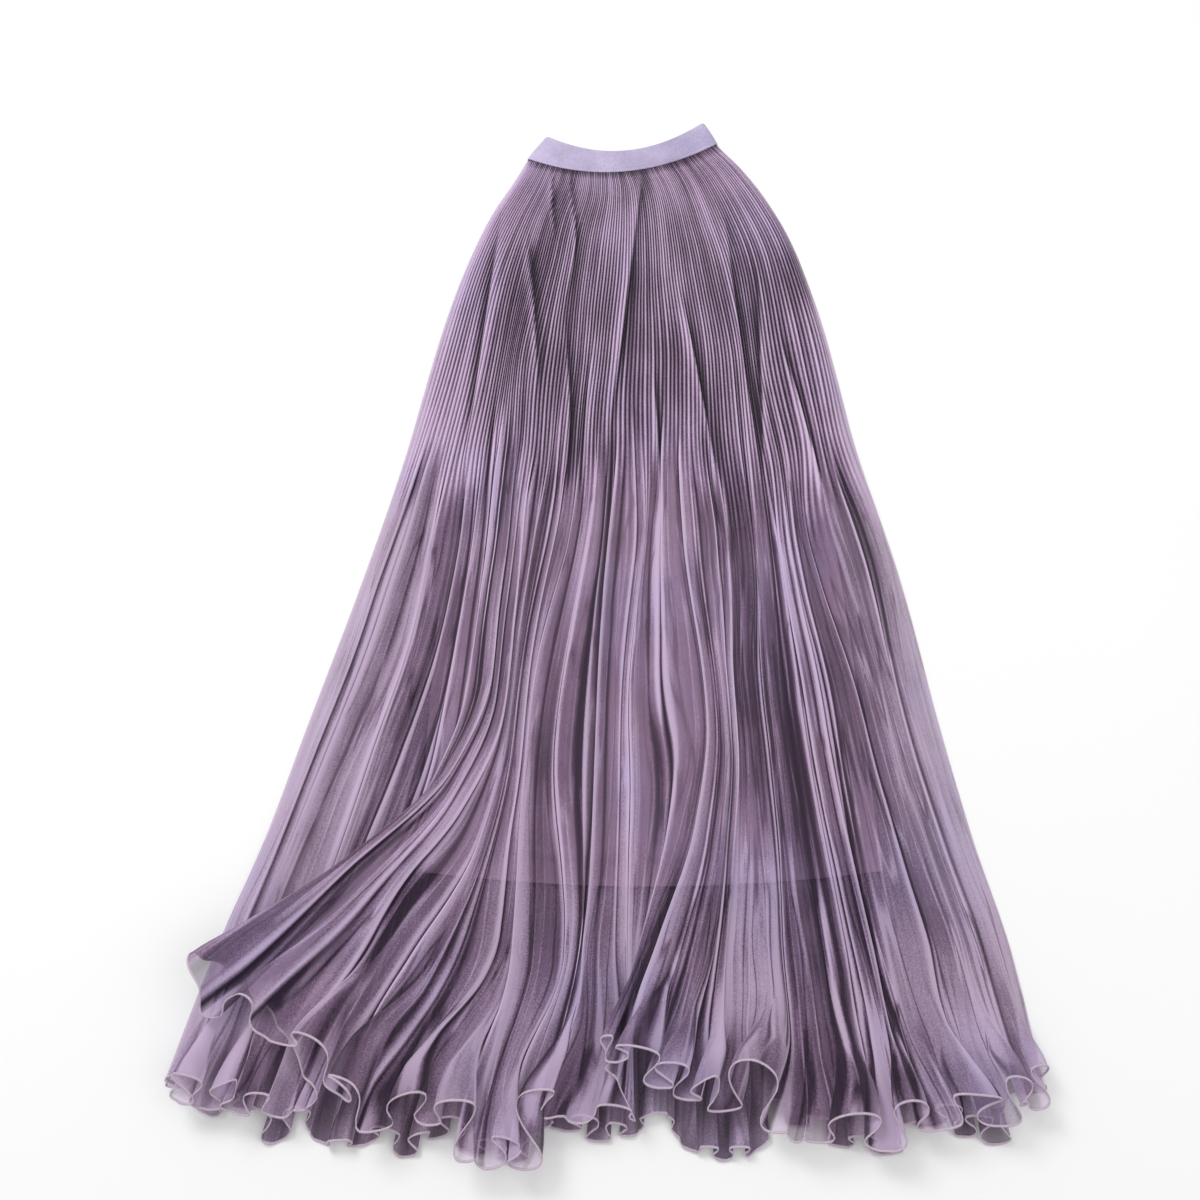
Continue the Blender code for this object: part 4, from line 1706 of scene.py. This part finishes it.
def knit_group() -> bpy.types.NodeTree:
    """Fine knitted net: how open it is at each point, and how high its loops stand.

    Returns:
        The group, with the cloth's flat place and the knit's pitch as inputs.
    """
    wiring, given, made = effect_group(
        "Fine knit",
        {"Cloth": ("NodeSocketVector", None), "Pitch": ("NodeSocketFloat", 1.0 * MM)},
        {"Hole": "NodeSocketFloat", "Height": "NodeSocketFloat"},
    )
    apart = wiring.add("ShaderNodeSeparateXYZ")
    wiring.join(given["Cloth"], apart.inputs[0])
    turns = wiring.math("DIVIDE", 2 * math.pi, given["Pitch"])
    across = wiring.math("MULTIPLY", apart.outputs[0], turns)
    down = wiring.math("MULTIPLY", apart.outputs[1], turns)
    rising = wiring.math("SINE", wiring.math("ADD", across, down))
    falling = wiring.math("SINE", wiring.math("SUBTRACT", across, down))
    height = wiring.math("MAXIMUM", wiring.math("ABSOLUTE", rising), wiring.math("ABSOLUTE", falling))
    wiring.join(wiring.span(height, HOLE_EDGE, (1.0, 0.0)), made["Hole"])
    wiring.join(height, made["Height"])
    return wiring.tree


def crinkle_group() -> bpy.types.NodeTree:
    """Fine crinkles along the cloth: a soft grain, and thin lines where it is creased, with painted highlight
    and painted shade along them.

    Returns:
        The group, with the cloth's flat place and the crinkles' strength as inputs.
    """
    wiring, given, made = effect_group(
        "Long crinkles",
        {"Cloth": ("NodeSocketVector", None), "Strength": ("NodeSocketFloat", 1.0)},
        {"Tone": "NodeSocketFloat"},
    )
    apart = wiring.add("ShaderNodeSeparateXYZ")
    wiring.join(given["Cloth"], apart.inputs[0])
    total = 0.0
    for crinkle in CRINKLES:
        place = wiring.add("ShaderNodeCombineXYZ")
        wiring.join(wiring.math("MULTIPLY", apart.outputs[0], crinkle.across), place.inputs[0])
        wiring.join(wiring.math("MULTIPLY", apart.outputs[1], crinkle.down), place.inputs[1])
        wiring.join(crinkle.offset, place.inputs[2])
        level = wiring.math("SUBTRACT", wiring.noise(place.outputs[0], 1.0), 0.5)
        if crinkle.line:
            level = wiring.span(wiring.math("ABSOLUTE", level), (0.0, crinkle.line), (1.0, 0.0))
        total = wiring.math("ADD", total, wiring.math("MULTIPLY", level, crinkle.weight))
    wiring.join(wiring.math("MULTIPLY", total, given["Strength"]), made["Tone"])
    return wiring.tree


def shade_group() -> bpy.types.NodeTree:
    """Colour of cloth in folds: painted shade in their valleys and painted highlight on their ridges from the
    tone, soft uneven patches and a fine thread grain.

    Returns:
        The group, with the tone, its three colours, its patches and its coolness as inputs.
    """
    wiring, given, made = effect_group(
        "Folded cloth shade",
        {
            "Tone": ("NodeSocketFloat", 0.5),
            "Valley": ("NodeSocketColor", (0.1, 0.1, 0.1, 1)),
            "Body": ("NodeSocketColor", (0.3, 0.3, 0.3, 1)),
            "Ridge": ("NodeSocketColor", (0.6, 0.6, 0.6, 1)),
            "Patches": ("NodeSocketFloat", 0.1),
            "Cool": ("NodeSocketFloat", 0.0),
        },
        {"Color": "NodeSocketColor"},
    )
    place = wiring.add("ShaderNodeTexCoord").outputs["Object"]
    patch = wiring.noise(place, PATCH_SCALE, 3.0)
    cloud = wiring.noise(place, CLOUD_SCALE)
    grain = wiring.noise(place, GRAIN_SCALE)
    uneven = wiring.math("MULTIPLY", wiring.math("SUBTRACT", patch, 0.5), given["Patches"])
    speckle = wiring.math("MULTIPLY", wiring.math("SUBTRACT", grain, 0.5), GRAIN_TONE)
    tone = wiring.math("ADD", wiring.math("ADD", given["Tone"], uneven), speckle)
    # Painted shade below level cloth and painted highlight above it
    low = wiring.blend(wiring.span(tone, VALLEY_TO_BODY, (0.0, 1.0)), given["Valley"], given["Body"])
    warm = wiring.blend(wiring.span(tone, BODY_TO_RIDGE, (0.0, 1.0)), low, given["Ridge"])
    tint = wiring.add("ShaderNodeMix", data_type="RGBA", blend_type="MULTIPLY")
    cool = wiring.math("ADD", wiring.span(cloud, *CLOUD_COOLNESS), given["Cool"])
    wiring.join(wiring.span(cool, (0.0, 1.0), (0.0, 1.0)), tint.inputs[0])
    wiring.join(warm, tint.inputs[6])
    wiring.join(COOL_TINT, tint.inputs[7])
    wiring.join(tint.outputs[2], made["Color"])
    return wiring.tree


@dataclass(frozen=True)
class Colours:
    """Linear colours of one cloth: its own colour on level cloth, with painted shade in its valleys and
    painted highlight on its ridges.
    """

    valley: Colour
    body: Colour
    ridge: Colour


@dataclass(frozen=True)
class ClothFinish:
    """A dyed cloth.

    Attributes:
        name: The material's name.
        colours: Its own colour, and its painted shade and highlight.
        knit: Pitch of its knit.
        sheer: Whether what lies behind it shows through.
        crinkle: Strength of its long crinkles.
        roughness: Its roughness.
        sheen: Strength of its pile of loose fibres.
        patches: Strength of its uneven patches, which on the elastic are painted sheen.
        bump: Strength of its knit in the light.
    """

    name: str
    colours: Colours
    knit: float
    sheer: bool
    crinkle: float
    roughness: float
    sheen: float
    patches: float
    bump: float

    def material(self, groups: dict[str, bpy.types.NodeTree], uses_flat: bool = True) -> bpy.types.Material:
        """Build the material.

        Args:
            groups: The shared node groups by name.
            uses_flat: Whether the piece has the cloth's flat coordinates and its tone of painted light and
                shade.

        Returns:
            The new material.
        """
        material = bpy.data.materials.new(self.name)
        material.use_nodes = True
        wiring = Wiring(material.node_tree)
        shader = material.node_tree.nodes["Principled BSDF"]
        shade = wiring.add("ShaderNodeGroup", node_tree=groups["shade"])
        knit = wiring.add("ShaderNodeGroup", node_tree=groups["knit"])
        if uses_flat:
            flat = wiring.add("ShaderNodeUVMap", uv_map="cloth").outputs[0]
            crinkle = wiring.add("ShaderNodeGroup", node_tree=groups["crinkle"])
            wiring.join(flat, crinkle.inputs["Cloth"])
            loose = wiring.add("ShaderNodeAttribute", attribute_name="loose").outputs["Fac"]
            wiring.join(wiring.math("MULTIPLY", loose, self.crinkle), crinkle.inputs["Strength"])
            # The tone, painted light and shade, with the crinkles' painted lines, sets the colour
            tone = wiring.add("ShaderNodeAttribute", attribute_name="tone").outputs["Fac"]
            wiring.join(wiring.math("ADD", tone, crinkle.outputs["Tone"]), shade.inputs["Tone"])
            creased = wiring.math("MULTIPLY", crinkle.outputs["Tone"], CRINKLE_RELIEF)
            relief = wiring.math("ADD", knit.outputs["Height"], creased)
            apart = wiring.add("ShaderNodeSeparateXYZ")
            wiring.join(flat, apart.inputs[0])
            wiring.join(wiring.span(apart.outputs[1], *HEM_COOLNESS), shade.inputs["Cool"])
        else:
            flat = wiring.add("ShaderNodeTexCoord").outputs["Object"]
            relief = knit.outputs["Height"]
        wiring.join(flat, knit.inputs["Cloth"])
        wiring.join(self.knit, knit.inputs["Pitch"])
        wiring.join(self.colours.valley, shade.inputs["Valley"])
        wiring.join(self.colours.body, shade.inputs["Body"])
        wiring.join(self.colours.ridge, shade.inputs["Ridge"])
        wiring.join(self.patches, shade.inputs["Patches"])
        wiring.join(shade.outputs["Color"], shader.inputs["Base Color"])
        roughness = (self.roughness + HOLLOW_ROUGHNESS, self.roughness)
        wiring.join(wiring.span(knit.outputs["Height"], (0, 1), roughness), shader.inputs["Roughness"])
        bump = wiring.add("ShaderNodeBump")
        bump.inputs["Strength"].default_value = self.bump
        bump.inputs["Distance"].default_value = 0.2 * MM
        wiring.join(relief, bump.inputs["Height"])
        wiring.join(bump.outputs[0], shader.inputs["Normal"])
        shader.inputs["Sheen Weight"].default_value = self.sheen
        shader.inputs["Sheen Roughness"].default_value = 0.5
        shader.inputs["Specular IOR Level"].default_value = 0.2
        if self.sheer:
            cover = wiring.add("ShaderNodeAttribute", attribute_name="cover").outputs["Fac"]
            holes = wiring.math("MULTIPLY", knit.outputs["Hole"], HOLE_SHARE)
            open_holes = wiring.math("MULTIPLY", holes, wiring.math("SUBTRACT", 1.0, cover))
            hidden = wiring.math("SUBTRACT", cover, open_holes)
            wiring.join(wiring.span(hidden, (0.0, 1.0), (0.0, 1.0)), shader.inputs["Alpha"])
        return material


# Each cloth's valley and ridge colours are its body colour in painted shade and painted highlight
SHEER = ClothFinish(
    name="sheer lilac mesh",
    colours=Colours((0.022, 0.009, 0.026, 1), (0.240, 0.148, 0.250, 1), (0.630, 0.480, 0.670, 1)),
    knit=1.1 * MM,
    sheer=True,
    crinkle=1.0,
    roughness=0.88,
    sheen=0.3,
    patches=0.35,
    bump=0.25,
)
SHEER_BACK = ClothFinish(
    name="sheer lilac mesh behind",
    colours=Colours((0.036, 0.018, 0.040, 1), (0.190, 0.118, 0.196, 1), (0.520, 0.385, 0.530, 1)),
    knit=1.1 * MM,
    sheer=True,
    crinkle=1.0,
    roughness=0.88,
    sheen=0.3,
    patches=0.35,
    bump=0.25,
)
LINING = ClothFinish(
    name="plain lilac lining",
    colours=Colours((0.220, 0.130, 0.215, 1), (0.450, 0.300, 0.440, 1), (0.580, 0.420, 0.570, 1)),
    knit=0.6 * MM,
    sheer=False,
    crinkle=0.12,
    roughness=0.55,
    sheen=0.2,
    patches=0.3,
    bump=0.2,
)
ELASTIC = ClothFinish(
    name="smooth lilac elastic",
    colours=Colours((0.210, 0.172, 0.280, 1), (0.425, 0.366, 0.535, 1), (0.650, 0.580, 0.760, 1)),
    knit=0.5 * MM,
    sheer=False,
    crinkle=0.12,
    roughness=0.45,
    sheen=0.25,
    patches=1.1,
    # Strong patches: painted sheen in broad light bands, as on satin
    bump=0.12,
)
THREAD = ClothFinish(
    name="pale lilac thread",
    colours=Colours((0.250, 0.185, 0.250, 1), (0.540, 0.430, 0.530, 1), (0.720, 0.600, 0.700, 1)),
    knit=0.5 * MM,
    sheer=False,
    crinkle=0.12,
    roughness=0.60,
    sheen=0.3,
    patches=0.3,
    bump=0.1,
)


@dataclass
class Studio:
    """Pale floor, soft light and the camera at the photograph's angle."""

    floor_size: float = 8.0
    floor_drop: float = 0.2 * MM
    focal_length: float = 34.5
    eye: tuple[float, float, float] = (0.0, -0.4584, 0.9223)
    tilt: float = math.radians(24)
    floor_greys: Step = (0.88, 0.91)
    floor_roughness: float = 0.9
    cloud_scale: float = 3.0
    sky: Colour = (1, 1, 1, 1)
    sky_strength: float = 0.62

    def floor(self) -> None:
        """One wide pale sheet under the skirt."""
        ground = bmesh.new()
        bmesh.ops.create_grid(ground, x_segments=1, y_segments=1, size=self.floor_size / 2)
        bmesh.ops.translate(ground, verts=ground.verts, vec=(0, 0, -self.floor_drop))
        mesh = bpy.data.meshes.new("floor")
        ground.to_mesh(mesh)
        ground.free()
        plane = link_piece("floor", mesh)
        material = bpy.data.materials.new("pale floor")
        material.use_nodes = True
        wiring = Wiring(material.node_tree)
        shader = material.node_tree.nodes["Principled BSDF"]
        cloud = wiring.noise(wiring.add("ShaderNodeTexCoord").outputs["Object"], self.cloud_scale)
        darker, paler = ((grey, grey, grey, 1) for grey in self.floor_greys)
        wiring.join(wiring.blend(cloud, darker, paler), shader.inputs["Base Color"])
        shader.inputs["Roughness"].default_value = self.floor_roughness
        plane.data.materials.append(material)

    def light(self, lamp: Lamp) -> None:
        """Hang one lamp, so that it looks at the middle of the skirt.

        Args:
            lamp: Its row in the table.
        """
        glow = bpy.data.lights.new(lamp.name, "AREA")
        glow.size = lamp.size
        glow.energy = lamp.power
        hung = bpy.data.objects.new(lamp.name, glow)
        hung.location = lamp.place
        hung.rotation_euler = (-Vector(lamp.place)).to_track_quat("-Z", "Y").to_euler()
        bpy.context.scene.collection.objects.link(hung)

    def camera(self) -> None:
        """The camera, with its lens and place."""
        lens = bpy.data.cameras.new("camera")
        lens.lens = self.focal_length
        lens.sensor_width = 36.0
        lens.clip_start = 0.01
        eye = bpy.data.objects.new("camera", lens)
        eye.location = self.eye
        eye.rotation_euler = (self.tilt, 0, 0)
        bpy.context.scene.collection.objects.link(eye)
        bpy.context.scene.camera = eye

    def build(self) -> None:
        """Everything round the skirt."""
        self.floor()
        for lamp in LAMPS:
            self.light(lamp)
        world = bpy.data.worlds.new("studio")
        world.use_nodes = True
        background = world.node_tree.nodes["Background"]
        background.inputs["Color"].default_value = self.sky
        background.inputs["Strength"].default_value = self.sky_strength
        bpy.context.scene.world = world
        bpy.context.scene.view_settings.view_transform = "Standard"
        self.camera()


@dataclass
class Skirt:
    """The whole skirt, piece by piece from the surface up."""

    overlock: Overlock = field(default_factory=Overlock)
    band: Band = field(default_factory=Band)

    def finish(self, piece: bpy.types.Object, material: bpy.types.Material) -> None:
        """Dress one piece and hang it on the skirt's body.

        Args:
            piece: The piece.
            material: Its material.
        """
        piece.data.materials.append(material)
        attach(piece, BODY)
        log.info("%s: %d faces", piece.name, len(piece.data.polygons))

    def panel(
        self, name: str, sheet: Sheet, faces: Side, cloth: bpy.types.Material, thread: bpy.types.Material
    ) -> tuple[bpy.types.Object, bpy.types.Object]:
        """A sheer panel and its overlocked hem.

        Args:
            name: The panel's name.
            sheet: Its shape.
            faces: Which way its outer side looks.
            cloth: Material of the panel.
            thread: Material of the hem.

        Returns:
            The panel and its hem.
        """
        panel = cloth_piece(name, sheet, faces)
        self.finish(panel, cloth)
        hem = self.overlock.build(name + "_hem", sheet)
        self.finish(hem, thread)
        return panel, hem

    def build(self) -> None:
        """Make every piece and hide the parts of the imported model that it replaces."""
        groups = {"knit": knit_group(), "crinkle": crinkle_group(), "shade": shade_group()}
        sheer = SHEER.material(groups)
        behind = SHEER_BACK.material(groups)
        thread = THREAD.material(groups, uses_flat=False)
        lined = LINING.material(groups)

        drape = BackDrape()
        back, back_hem = self.panel("sheer_back", drape.build(), Side.BACK, behind, thread)
        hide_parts("outer_back")

        for name, node, low, wave, seed in (
            ("plain_lining_back", "lining_back", 1.7 * MM, 0.5 * MM, 71),
            ("plain_lining_front", "lining_front", 3.0 * MM, 0.8 * MM, 72),
        ):
            layer = cloth_piece(name, LiningDrape(low, wave, seed).build(), Side.FRONT)
            self.finish(layer, lined)
            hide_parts(node)

        front, front_hem = self.panel("sheer_front", FrontDrape().build(), Side.FRONT, sheer, thread)
        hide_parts("outer_front")

        ring = self.band.ring()
        stitches = self.band.stitches()
        self.finish(ring, ELASTIC.material(groups, uses_flat=False))
        self.finish(stitches, thread)
        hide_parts("waistband")


def main() -> None:
    """Build the skirt and its studio."""
    logging.basicConfig(level=logging.INFO, format="%(message)s")
    Studio().build()
    Skirt().build()


if __name__ == "__main__":
    main()
